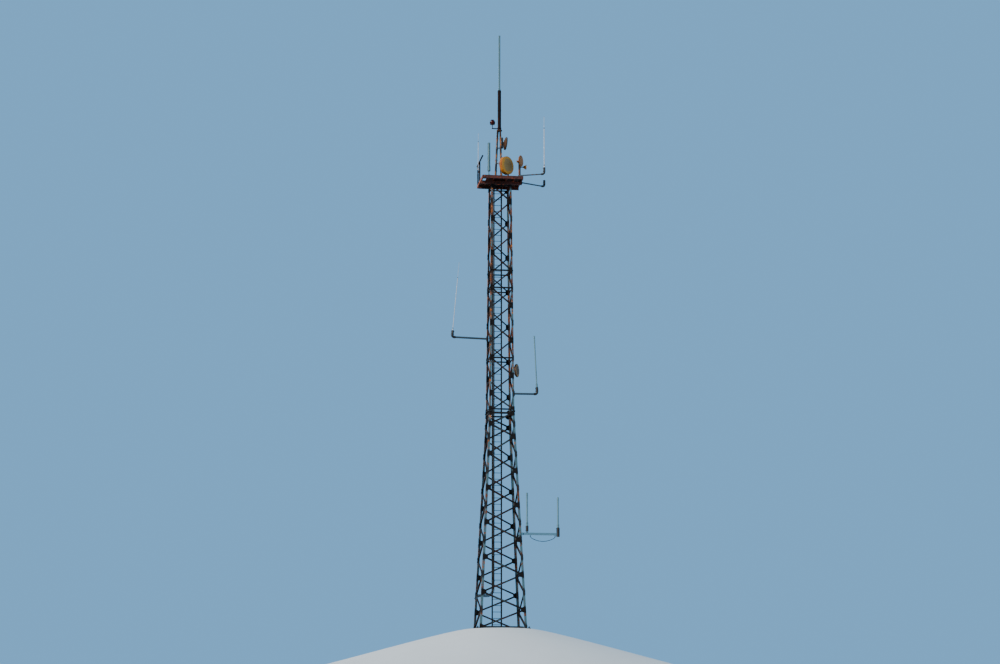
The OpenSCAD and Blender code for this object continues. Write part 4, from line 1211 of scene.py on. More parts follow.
@dataclass
class TowerFastenings:
    """Bolts of the gussets, splices, knuckle and base plates."""

    tower: Tower
    across: float = 0.024
    lower_leg_rows: tuple[float, ...] = (-0.09, -0.035, 0.035, 0.09)
    upper_leg_rows: tuple[float, ...] = (-0.1, -0.042, 0.042, 0.1)
    lower_bar_rows: tuple[float, ...] = (0.12, 0.162)
    upper_bar_rows: tuple[float, ...] = (0.104, 0.14)
    foot_bar_rows: tuple[float, ...] = (0.155,)
    head_rows: tuple[float, ...] = (-0.09, -0.035)
    head_bar_rows: tuple[float, ...] = (0.1, 0.14)
    level_joints: tuple[int, ...] = (0, 3, 7, 8, 13)
    level_rows: tuple[float, ...] = (-0.018, 0.018)
    knuckle_rows: tuple[float, ...] = (0.0, 0.06, 0.115)
    level_bar_rows: tuple[float, ...] = (0.085, 0.125)
    lower_splice_z: float = 4.16
    lower_splice_rows: tuple[float, ...] = (-0.215, -0.165, -0.105, -0.05, 0.05, 0.105, 0.165, 0.215)
    lower_splice_clear: float = 0.13
    upper_splice_z: float = 16.354
    upper_splice_rows: tuple[float, ...] = (-0.215, -0.175, 0.175, 0.215)
    flange_out: float = 0.624
    flange_edge: float = 0.462
    flange_mid: float = 0.552
    flange_inner: float = 0.466
    flange: float = 0.02
    flange_across: float = 0.03
    flange_stub: float = 0.012
    anchor_mid: float = 1.085
    anchor_half: float = 0.125
    anchor_radius: float = 0.0125
    anchor_up: float = 0.085
    anchor_corner: float = 0.021
    anchor_crown: float = 0.018
    washer_half: float = 0.03
    washer: float = 0.008
    nuts: tuple[Span, ...] = ((0.008, 0.022), (0.031, 0.012))
    plate_top: float = 0.025

    def build(self, finishes: Finishes) -> None:
        """Makes the three pieces.

        Args:
            finishes: The built materials.
        """
        bolts = Solids()
        self._lower(bolts)
        self._splice(bolts, self.lower_splice_z, self.lower_splice_rows, self.lower_splice_clear)
        bolts.piece("lower_bolts", finishes.bracing)
        bolts = Solids()
        self._upper(bolts)
        self._splice(bolts, self.upper_splice_z, self.upper_splice_rows)
        self._knuckle(bolts)
        bolts.piece("upper_bolts", finishes.bracing)
        bolts = Solids()
        self._anchors(bolts)
        bolts.piece("anchor_bolts", finishes[Slot.RUSTED])

    def _gusset(
        self,
        bolts: Solids,
        side: Matrix,
        at: Span,
        rows: Iterable[float],
        others: Iterable[tuple[Span, Iterable[float]]],
    ) -> None:
        """Bolts one gusset to the leg and to its bars.

        Args:
            bolts: Mesh that the bolts go into.
            side: Frame of the tower's side.
            at: The gusset's joint in that frame.
            rows: Heights of the bolts on the leg, from the joint.
            others: For each bar, the joint that it runs to and the distances of its bolts.
        """
        out = self.tower.gusset_out
        for row in rows:
            bolts.bolt(side @ moved(at[0], at[1] + row, out), self.across)
        for far, distances in others:
            run = Vector((far[0] - at[0], far[1] - at[1])).normalized()
            for distance in distances:
                place = moved(at[0] + run.x * distance, at[1] + run.y * distance, out)
                bolts.bolt(side @ place, self.across)

    @staticmethod
    def _held(rows: Iterable[float], k: int, last: int) -> list[float]:
        """Returns the rows that a gusset has, which at either end of the bracing is cut in half."""
        return [r for r in rows if (k > 0 or r > 0) and (k < last or r < 0)]

    def _lower(self, bolts: Solids) -> None:
        """Bolts the gussets below the knuckle.

        Args:
            bolts: Mesh that the bolts go into.
        """
        tower = self.tower
        last = tower.lower_levels
        nodes = []
        for k in range(last + 1):
            z = tower.lower_level(k)
            nodes.append(((-1) ** (k + 1) * (tower.half(z) - tower.lower_leg / 2), z / tower.lower_rise))
        for turn in tower.turns:
            side = tower.lower_side(turn)
            for k, at in enumerate(nodes):
                distances = self.lower_bar_rows if k else self.foot_bar_rows
                others = [(nodes[j], distances) for j in (k - 1, k + 1) if 0 <= j <= last]
                self._gusset(bolts, side, at, self._held(self.lower_leg_rows, k, last), others)
            corner = (-nodes[last][0], nodes[last][1])
            self._gusset(bolts, side, corner, self.head_rows, [(nodes[last], self.head_bar_rows)])

    def _upper(self, bolts: Solids) -> None:
        """Bolts the gussets and level bars above the knuckle.

        Args:
            bolts: Mesh that the bolts go into.
        """
        tower = self.tower
        last = tower.upper_bays
        nodes = []
        for k in range(last + 1):
            z = tower.upper_level(k)
            across = (-1) ** k * (tower.half(z) - tower.upper_leg / 2)
            nodes.append((across, (z - tower.knuckle_z) / tower.upper_rise))
        for turn in tower.turns:
            side = tower.upper_side(turn)
            for k, at in enumerate(nodes):
                others = [(nodes[j], self.upper_bar_rows) for j in (k - 1, k + 1) if 0 <= j <= last]
                self._gusset(bolts, side, at, self._held(self.upper_leg_rows, k, last), others)
            for k in self.level_joints:
                corner = (-nodes[k][0], nodes[k][1])
                rows = self.level_rows if k else self.knuckle_rows
                self._gusset(bolts, side, corner, rows, [(nodes[k], self.level_bar_rows)])

    def _splice(self, bolts: Solids, z: float, rows: Iterable[float], clear: float = 0.0) -> None:
        """Bolts the cleats of a splice through the legs' outer faces.

        Args:
            bolts: Mesh that the bolts go into.
            z: Height of the splice.
            rows: Heights of the bolts from the splice.
            clear: Half height of the gusset on the right leg, where no bolt shows.
        """
        tower = self.tower
        low = z < tower.knuckle_z
        leg = tower.lower_leg if low else tower.upper_leg
        base = 0.0 if low else tower.knuckle_z
        rise = tower.lower_rise if low else tower.upper_rise
        for turn in tower.turns:
            side = tower.lower_side(turn) if low else tower.upper_side(turn)
            for s in (-1, 1):
                for row in rows:
                    if s == 1 and abs(row) < clear:
                        continue
                    height = z + row
                    place = moved(s * (tower.half(height) - leg / 2), (height - base) / rise, 0)
                    bolts.bolt(side @ place, self.across)

    def _knuckle(self, bolts: Solids) -> None:
        """Bolts the flange plates of the knuckle.

        Args:
            bolts: Mesh that the bolts go into.
        """
        out, inner = self.flange_out, self.flange_inner
        spots = [(out, side) for side in (self.flange_edge, self.flange_mid)]
        spots += [(side, out) for side in (self.flange_edge, self.flange_mid)]
        for turn in self.tower.turns:
            for x, y in (*spots, (inner, inner)):
                place = spun(turn) @ moved(-x, -y, self.tower.knuckle_z)
                below = place @ moved(z=-self.flange) @ spun(180, Axis.X)
                bolts.bolt(place @ moved(z=self.flange), self.flange_across)
                bolts.bolt(below, self.flange_across, self.flange_stub)

    def _anchors(self, bolts: Solids) -> None:
        """Adds the anchor bolts with their square washers and double nuts.

        Args:
            bolts: Mesh that they go into.
        """
        top, half, radius, corner = self.plate_top, self.washer_half, self.anchor_radius, self.anchor_corner
        end = top + self.anchor_up
        spots = [(i * self.anchor_half, j * self.anchor_half) for i in (-1, 1) for j in (-1, 1)]
        for turn in self.tower.turns:
            for x, y in spots:
                place = spun(turn) @ moved(self.anchor_mid + x, self.anchor_mid + y, 0)
                bolts.turned(place, [(0, 0.001), (radius, 0.001), (radius, end), (0, end + 0.005)], 12)
                bolts.block(place, (-half, -half, top), (half, half, top + self.washer))
                for up, height in self.nuts:
                    low, high = top + up, top + up + height
                    rim = low + 0.8 * height
                    dome = [(0, low), (corner, low), (corner, rim), (self.anchor_crown, high), (0, high)]
                    bolts.turned(place, dome, 6)


@dataclass
class Jumper:
    """The cable that sags from clip to clip under the lower arm."""

    start: Point = (1.32, -0.805087, 4.45)
    far: float = 2.5
    diameter: float = 0.024
    drop: tuple[Span, ...] = ((0.0, -0.1), (0.008, -0.14), (0.06, -0.196), (0.19, -0.262), (0.38, -0.322))
    lowest: float = -0.345
    boot_length: float = 0.045
    boot_wall: float = 0.006
    boot_lip: float = 0.002
    boot_collar: float = 0.012
    steps: int = 40

    def route(self) -> list[Vector]:
        """Works out the points of the cable's route, as the part has them.

        Returns:
            The points, from clip to clip.
        """
        x, y, z = self.start
        flat = [(x + along, down) for along, down in self.drop]
        flat += [((x + self.far) / 2, self.lowest)]
        flat += [(self.far - along, down) for along, down in reversed(self.drop)]
        return [Vector((px, y, z + pz)) for px, pz in flat]

    @staticmethod
    def _at(route: list[Vector], t: float) -> tuple[Vector, Vector]:
        """Follows the smooth curve through the route's points.

        Args:
            route: The points.
            t: How far along, one unit for each span between two points.

        Returns:
            The place and the direction of the curve there.
        """
        last = len(route) - 1
        i = min(int(t), last - 1)
        f = t - i
        a, b, c, d = (route[min(max(j, 0), last)] for j in (i - 1, i, i + 1, i + 2))
        ahead, bow, turn = c - a, 2 * a - 5 * b + 4 * c - d, 3 * b - a - 3 * c + d
        point = 0.5 * (2 * b + ahead * f + bow * f * f + turn * f**3)
        return point, 0.5 * (ahead + 2 * bow * f + 3 * turn * f * f)

    def _lead(self, route: list[Vector], finish: bpy.types.Material) -> bpy.types.Object:
        """Makes the cable as a round curve through the route.

        Args:
            route: Points of the route.
            finish: The cable's material.

        Returns:
            The cable.
        """
        data = bpy.data.curves.new("jumper_lead", "CURVE")
        data.dimensions = "3D"
        data.bevel_depth = self.diameter / 2
        data.bevel_resolution = 4
        data.resolution_u = 8
        data.use_fill_caps = True
        spline = data.splines.new("BEZIER")
        spline.bezier_points.add(2 * (len(route) - 1))
        for k, knot in enumerate(spline.bezier_points):
            point, run = self._at(route, k / 2)
            knot.co = point
            knot.handle_left_type = knot.handle_right_type = "FREE"
            knot.handle_left = point - run / 6
            knot.handle_right = point + run / 6
        lead = bpy.data.objects.new("jumper_lead", data)
        bpy.context.scene.collection.objects.link(lead)
        data.materials.append(finish)
        return lead

    def build(self, finishes: Finishes) -> None:
        """Makes the cable and the boots at its two ends.

        Args:
            finishes: The built materials.
        """
        route = self.route()
        lead = self._lead(route, finishes[Slot.JACKET])
        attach(lead, "root")
        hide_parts("jumper_cable")
        wide, tip = self.diameter / 2 + self.boot_wall, self.diameter / 2 + self.boot_lip
        boot_top = self.boot_length
        profile = [(0, 0), (wide, 0), (wide, self.boot_collar), (tip, boot_top), (0, boot_top)]
        boots = Solids()
        for end in (route[0], route[-1]):
            boots.turned(Matrix.Translation(end) @ spun(180, Axis.X), profile, 20)
        ends = boots.piece("jumper_boots", finishes[Slot.JACKET])


@dataclass
class Platform:
    """Fastenings of the deck plates and the guard rail, and the foot plates of the rail."""

    tower: Tower
    edge: float = 0.965
    seams: tuple[float, ...] = (-0.4455, -0.4095, 0.2095, 0.2455)
    joists: tuple[float, ...] = (-0.6975, 0.5975)
    pitch: float = 0.28
    windows: tuple[tuple[float, float, float, float], ...] = (
        (-0.95, -0.35, -0.70, 0.37),
        (0.65, 0.05, 0.81, 0.55),
        (-0.4245, -0.075, 0.2245, 0.44),
    )
    margin: float = 0.015
    screw: tuple[Span, ...] = ((0, 0), (0.012, 0), (0.012, 0.002), (0.008, 0.0055), (0, 0.0065))
    posts: tuple[float, ...] = (0.295, 0.93)
    foot_xs: Span = (-0.984, -0.87)
    foot_ys: Span = (-0.04, 0.055)
    foot_plate: float = 0.008
    foot_bolt_x: float = -0.89
    foot_bolt_ys: tuple[float, ...] = (-0.02, 0.036)
    foot_bolt: float = 0.018
    rail_zs: tuple[float, ...] = (22.356, 22.796)
    rail_bolt_x: float = -0.995
    rail_bolt_y: float = 0.03
    rail_bolt: float = 0.02
    sleeve_x: float = -0.992
    sleeve_ys: tuple[float, ...] = (-0.945, -0.3, 0.3, 0.995)
    sleeve_z: float = 22.792
    sleeve_radius: float = 0.034

    def _solid_at(self, x: float, y: float) -> bool:
        """Tells whether the deck has plate at x, y, clear of the windows' edges."""
        m = self.margin
        return not any(x0 - m < x < x1 + m and y0 - m < y < y1 + m for x0, y0, x1, y1 in self.windows)

    def build(self, finishes: Finishes) -> None:
        """Makes the deck's screws and the rail's fixings.

        Args:
            finishes: The built materials.
        """
        screws = Solids()
        self._screws(screws)
        screws.piece("deck_screws", finishes[Slot.OXIDE])
        rail = Solids()
        self._rail(rail)
        rail.piece("rail_fixings", finishes[Slot.POLE])

    def _screws(self, screws: Solids) -> None:
        """Screws the plates down along the deck's edges, seams and joists.

        Args:
            screws: Mesh that the screws go into.
        """
        count = int(2 * self.edge / self.pitch)
        rows = [-self.edge + i * 2 * self.edge / count for i in range(count + 1)]
        spots = {(x, y) for x in (-self.edge, self.edge, *self.seams, *self.joists) for y in rows}
        spots |= {(x, y) for x in rows for y in (-self.edge, self.edge)}
        for x, y in sorted(spots):
            if self._solid_at(x, y):
                screws.turned(moved(x, y, self.tower.deck_top), self.screw, 10)

    def _rail(self, rail: Solids) -> None:
        """Adds the foot plates and the bolts of the rail's posts, and the sleeve along the top rail.

        Args:
            rail: Mesh that they go into.
        """
        base = moved(z=self.tower.deck_top)
        (x0, x1), (y0, y1) = self.foot_xs, self.foot_ys
        for y in self.posts:
            rail.block(base, (x0, y + y0, 0), (x1, y + y1, self.foot_plate))
            for dy in self.foot_bolt_ys:
                rail.bolt(base @ moved(self.foot_bolt_x, y + dy, self.foot_plate), self.foot_bolt)
            for z in self.rail_zs:
                spot = moved(self.rail_bolt_x, y + self.rail_bolt_y, z)
                rail.bolt(out_along_x(spot) @ spun(180, Axis.X), self.rail_bolt)
        rail.tube([Vector((self.sleeve_x, y, self.sleeve_z)) for y in self.sleeve_ys], self.sleeve_radius, 20)


@dataclass
class Stand:
    """Fastenings of the pole stand, the pole and the cables that climb it."""

    tower: Tower
    x: float = -0.084
    y: float = -0.35
    height: float = 2.45
    foot_radius: float = 0.2
    top_radius: float = 0.09
    bolt_circle: float = 0.108
    cable_xs: tuple[float, ...] = (-0.302, -0.268, -0.234)
    cable_radius: float = 0.014
    hangers: tuple[float, ...] = (0.4, 0.95, 1.5, 2.05)

    @property
    def base(self) -> float:
        """Height of the stand's feet."""
        return self.tower.deck_top + GAP

    @property
    def pole_z(self) -> float:
        """Height of the pole's flange."""
        return self.base + self.height + GAP

    def lean(self, height: float) -> float:
        """How far the stand's legs have come in at a height over the deck."""
        return (self.foot_radius - self.top_radius) * height / self.height

    def build(self, finishes: Finishes) -> None:
        """Makes the fixings, the cable hangers and the pole's trim.

        Args:
            finishes: The built materials.
        """
        fixings = Solids()
        middle = moved(self.x, self.y, self.base)
        for turn in (180, 300, 60):
            for i in (-0.055, 0.055):
                for j in (-0.042, 0.042):
                    fixings.bolt(middle @ spun(turn) @ moved(self.foot_radius + i, j, 0.012), 0.02)
        for turn in (-22, 22, 98, 142, 218, 262):
            spot = spun(turn) @ moved(self.bolt_circle)
            fixings.bolt(moved(self.x, self.y, self.pole_z + 0.02) @ spot, 0.024)
            below = moved(self.x, self.y, self.pole_z - GAP - 0.02)
            fixings.bolt(below @ spot @ spun(180, Axis.X), 0.024, 0.01)
        fixings.piece("stand_bolts", finishes[Slot.RUSTED])
        hangers = Solids()
        for height in self.hangers:
            shift = self.lean(height)
            back = self.y + 0.03
            front = self.y + 0.065 - self.cable_radius
            leg = self.x - self.foot_radius + shift
            bar = moved(0, 0, self.base + height)
            hangers.block(bar, (leg - 0.02, back - 0.006, -0.015), (leg + 0.02, front - 0.004, 0.015))
            low, high = self.cable_xs[0] + shift - 0.03, self.cable_xs[-1] + shift + 0.03
            hangers.block(bar, (low, front - 0.005, -0.015), (high, front - BITE, 0.015))
            for x in self.cable_xs:
                at = axes((1, 0, 0), (0, 1, 0), (x + shift, self.y + 0.065, self.base + height))
                hangers.u_bolt(at, self.cable_radius + 0.003, 0.028, 0.0028, -self.cable_radius - 0.005)
            ring = moved(leg, self.y, self.base + height - 0.012)
            hangers.hoop(ring, 0.0305, [(0, 0), (0.004, 0), (0.004, 0.024), (0, 0.024)], 28)
        hangers.piece("cable_hangers", finishes[Slot.GALVANISED])
        trim = Solids()
        for height, width in ((0.03, 0.012), (1.0, 0.05), (1.96, 0.05)):
            ring = moved(self.x, self.y, self.pole_z + height)
            trim.hoop(ring, 0.0822, [(0, 0), (0.005, 0.002), (0.005, width - 0.002), (0, width)], 48)
        top = moved(self.x, self.y, self.pole_z + 2.04)
        trim.turned(top, [(0, 0), (0.078, 0), (0.078, 0.006), (0.07, 0.012), (0, 0.012)], 48)
        trim.piece("pole_bands", finishes[Slot.POLE])


@dataclass(frozen=True)
class Arms:
    """Where the tubes of the side arms start, +x along each."""

    tower: Tower

    def upper(self) -> Matrix:
        """Root of the upper deck arm."""
        return moved(0.76, -0.9, self.tower.deck_top + 0.0383) @ spun(-22)

    def lower(self) -> Matrix:
        """Root of the lower deck arm."""
        return moved(1.0003, -0.48, 21.64) @ spun(24)

    def left(self) -> tuple[Matrix, float]:
        """Root and reach of the middle left arm.

        Returns:
            The root of the arm's tube and the distance to its upturned end.
        """
        half = self.tower.half(14.02)
        root = self.tower.on_leg(270, 0.045 - half, 14.02) @ moved(GAP + 0.006) @ spun(-1, Axis.Y)
        return root, round((2.25 - half) / math.cos(math.radians(1)), 3)

    def right(self) -> tuple[Matrix, float]:
        """Root and reach of the middle right arm.

        Returns:
            The root of the arm's tube and the distance to its upturned end.
        """
        half = self.tower.half(11.17)
        root = self.tower.on_leg(90, 0.07 - half, 11.17) @ moved(self.tower.rail_seat + 0.006)
        return root, round(1.7 - half, 3)


@dataclass
class Rods:
    """Ferrules, caps and bands of the antennas."""

    tower: Tower
    stand: Stand
    arms: Arms

    def build(self, finishes: Finishes) -> None:
        """Makes the trim of the grey and the white antennas.

        Args:
            finishes: The built materials.
        """
        grey = Solids()
        foot = moved(self.stand.x, self.stand.y, self.stand.pole_z + 2.0403)
        for z, r, h in ((0.03, 0.058, 0.05), (0.95, 0.0475, 0.05), (1.9, 0.0475, 0.05)):
            grey.turned(foot @ moved(z=z), [(0, 0), (r, 0), (r, 0.8 * h), (0.046, h), (0, h)], 32)
        top_cap = [(0, 0), (0.0475, 0), (0.0475, 0.014), (0.036, 0.0225), (0, 0.0235)]
        grey.turned(foot @ moved(z=2.826), top_cap, 32)
        tube = moved(-0.68, -0.92, self.tower.deck_top + GAP)
        for z in (0.44, 0.82, 1.2):
            grey.hoop(tube @ moved(z=z), 0.0648, [(0, 0), (0.0025, 0.001), (0.0025, 0.021), (0, 0.022)], 40)
        cap = [(0, 0), (0.067, 0), (0.067, 0.012), (0.056, 0.026), (0.024, 0.032), (0, 0.033)]
        grey.turned(tube @ moved(z=1.608), cap, 40)
        for turn in CORNERS:
            grey.bolt(tube @ spun(turn) @ moved(0.06, 0, 0.012), 0.014)
        for place, radius, base, base_top, length in self._stout():
            self._collars(grey, place, radius, base, base_top, length)
        grey.piece("rod_trim", finishes[Slot.GREY])
        white = Solids()
        for place, radius, length in self._whips():
            self._whip(white, place, radius, length)
        white.piece("whip_ferrules", finishes[Slot.GALVANISED])

    @staticmethod
    def _collars(
        trim: Solids, place: Matrix, radius: float, base: float, base_top: float, length: float
    ) -> None:
        """Adds the cap, the shoulder and the bands of one stout antenna.

        Args:
            trim: Mesh that the trim goes into.
            place: The antenna's foot.
            radius: Radius of the antenna.
            base: Radius of its base.
            base_top: Height of the base.
            length: Height of the antenna.
        """
        top = radius + 0.004
        cap = [(0, 0), (top - 0.001, 0), (top - 0.006, 0.014), (0.4 * top, 0.022), (0, 0.024)]
        trim.turned(place @ moved(z=length - 0.001), cap, 32)
        shoulder = [(0, 0), (base - 0.001, 0), (base - 0.004, 0.008), (radius + 0.002, 0.028), (0, 0.028)]
        trim.turned(place @ moved(z=base_top - 0.001), shoulder, 32)
        for z in (0.02, base_top - 0.045):
            collar = [(0, 0), (0.003, 0.001), (0.003, 0.021), (0, 0.022)]
            trim.hoop(place @ moved(z=z), base - 0.0002, collar, 32)
        top_ring = [(0, -0.01), (0.0035, 0), (0.0035, 0.008), (0, 0.008)]
        trim.hoop(place @ moved(z=length - 0.125), radius - 0.0002, top_ring, 32)

    @staticmethod
    def _whip(trim: Solids, place: Matrix, radius: float, length: float) -> None:
        """Adds the ferrule, the joint and the tip bead of one whip.

        Args:
            trim: Mesh that the trim goes into.
            place: The whip's foot.
            radius: Radius of the whip at its foot.
            length: Length of the whip.
        """
        foot = [(0, 0), (1.5 * radius, 0), (1.5 * radius, 0.015), (1.08 * radius, 0.05), (0, 0.05)]
        trim.turned(place @ moved(z=0.089), foot, 20)
        joint = [(0, -0.03), (radius, -0.03), (radius, 0.004), (0.45 * radius, 0.03), (0, 0.03)]
        trim.turned(place @ moved(z=0.77 * length), joint, 20)
        bead = 0.5 * radius
        bead_end = [(0, 0), (bead, 0), (bead, 0.01), (0.6 * bead, 0.0135), (0, 0.014)]
        trim.turned(place @ moved(z=length - 0.014), bead_end, 16)

    def _arm_end(self, arm: Matrix, reach: float, lean: float) -> Matrix:
        """Returns the top of the boot on an arm's end.

        Args:
            arm: Root of the arm's tube.
            reach: Distance along the tube to the upturned end.
            lean: Degrees that the boot leans by.
        """
        return arm @ moved(reach, 0, 0.1) @ spun(lean, Axis.Y) @ moved(z=0.22 + GAP)

    def _stout(self) -> list[tuple[Matrix, float, float, float, float]]:
        """Returns the foot, radius, base radius, base height and length of each stout antenna.

        Returns:
            One row of measures for each antenna.
        """
        arm = moved(0, -0.805087, 4.45)
        right, reach = self.arms.right()
        return [
            (arm @ moved(2.645, 0, 0.3 + GAP), 0.04, 0.052, 0.14, 1.43),
            (arm @ moved(1.17, 0, 0.36 + GAP), 0.04, 0.052, 0.16, 1.56),
            (self._arm_end(right, reach, -2.2), 0.03, 0.045, 0.16, 2.5),
        ]

    def _whips(self) -> list[tuple[Matrix, float, float]]:
        """Returns the foot, the radius and the length of each whip.

        Returns:
            One row of measures for each whip.
        """
        left, reach = self.arms.left()
        return [
            (moved(-1.035, 0.32, 22.42), 0.0147, 1.9),
            (self._arm_end(self.arms.upper(), 1.3, 0), 0.021, 2.59),
            (self._arm_end(left, reach, -3.5), 0.0147, 3.42),
        ]


@dataclass
class Lamp:
    """The obstruction lamp's lens rings, guard and finial, and the split clamp of its bracket."""

    stand: Stand
    reach: float = 0.34
    radius: float = 0.1
    bars: int = 8
    over: tuple[tuple[float, float], ...] = (
        (0.11, 0.012),
        (0.126, 0.05),
        (0.13, 0.1),
        (0.124, 0.15),
        (0.104, 0.196),
        (0.07, 0.228),
        (0.035, 0.242),
        (0.0, 0.246),
    )

    def build(self, finishes: Finishes) -> None:
        """Makes the lens rings and the lamp's metalwork.

        Args:
            finishes: The built materials.
        """
        foot = moved(self.stand.x - self.reach, self.stand.y, self.stand.pole_z + 0.2953)
        lens = Solids()
        for i in range(5):
            ring = foot @ moved(z=0.032 + i * 0.018)
            lens.hoop(ring, self.radius - 0.001, [(0, 0), (0.006, 0.006), (0.006, 0.01), (0, 0.015)], 40)
        lens.piece("lens_rings", finishes[Slot.LENS])
        metal = Solids()
        base_ring = [(0, 0), (0.052, 0), (0.056, 0.02), (0.056, 0.034), (0, 0.036)]
        metal.hoop(foot @ moved(z=0.004), 0.058, base_ring, 40)
        for z, width in ((0.098, 0.03), (0.19, 0.008)):
            guard_ring = [(0, 0), (width, 0), (width, 0.008), (0, 0.008)]
            metal.hoop(foot @ moved(z=z), self.radius - 0.001, guard_ring, 40)
        for i in range(self.bars):
            side = foot @ spun(360 / self.bars * (i + 0.5))
            metal.bolt(side @ moved(0.1, 0, 0.036), 0.01)
            metal.tube([side @ Vector((r, 0, z)) for r, z in self.over], 0.005, 8)
        finial = [(0, 0), (0.016, 0), (0.016, 0.01), (0.006, 0.016), (0, 0.03)]
        metal.turned(foot @ moved(z=0.222), finial, 20)
        clamp = moved(self.stand.x, self.stand.y, self.stand.pole_z + 0.08)
        for s in (-1, 1):
            metal.block(clamp, (-0.016, s * 0.108 - 0.018, 0.004), (0.016, s * 0.108 + 0.018, 0.056))
            for z in (0.018, 0.042):
                metal.bolt(out_along_x(clamp @ moved(0.016, s * 0.112, z)), 0.014)
                metal.bolt(out_along_x(clamp @ moved(-0.016, s * 0.112, z)) @ spun(180, Axis.X), 0.014, 0.006)
        metal.piece("lamp_fittings", finishes[Slot.POLE])


@dataclass
class Dish:
    """Radome, rim clamps and hoops of one drum dish that looks along its local +x axis."""

    name: str
    place: Matrix
    radius: float
    rim: float
    hooks: int
    face: Radome
    crown: float = 0.012
    lip: float = 0.012
    # Whether the rim clamps wear the darkened ochre that paints shade.
    painted_shade: bool = False

    def build(self, finishes: Finishes) -> None:
        """Makes the radome and the rim's metalwork.

        Args:
            finishes: The built materials.
        """
        forward = axes((0, 0, -1), (1, 0, 0))
        cover = Solids()
        inner = self.radius - self.lip - 0.0005
        steps = 10
        climb = [math.pi / 2 * i / steps for i in range(steps)]
        dome = [(inner * math.cos(a), self.crown * math.sin(a)) for a in climb]
        profile = [(0, -0.008), (inner, -0.008), (inner, -0.001)]
        profile += [(r, z - 0.001) for r, z in dome[1:]] + [(0, self.crown - 0.001)]
        cover.turned(forward, profile, 72)
        cover.piece(f"{self.name}_radome", self.face.build(finishes.effects), self.place)
        metal = Solids()
        spot = self.place @ forward
        band = [(0, 0), (0.005, 0.002), (0.005, 0.02), (0, 0.022)]
        for z in (-0.03, -self.rim - 0.002):
            metal.hoop(spot @ moved(z=z), self.radius - BITE, band, 72)
        for i in range(self.hooks):
            side = spot @ spun(360 * (i + 0.5) / self.hooks)
            metal.block(side, (self.radius - 0.02, -0.009, 0.0), (self.radius + 0.007, 0.009, 0.004))
            metal.block(side, (self.radius + 0.003, -0.009, -0.034), (self.radius + 0.007, 0.009, 0.001))
            metal.bolt(side @ moved(self.radius + 0.007, 0, -0.022) @ spun(90, Axis.Y), 0.01)
        finish = finishes.painted_shade if self.painted_shade else finishes[Slot.OCHRE]
        metal.piece(f"{self.name}_rim_clamps", finish)


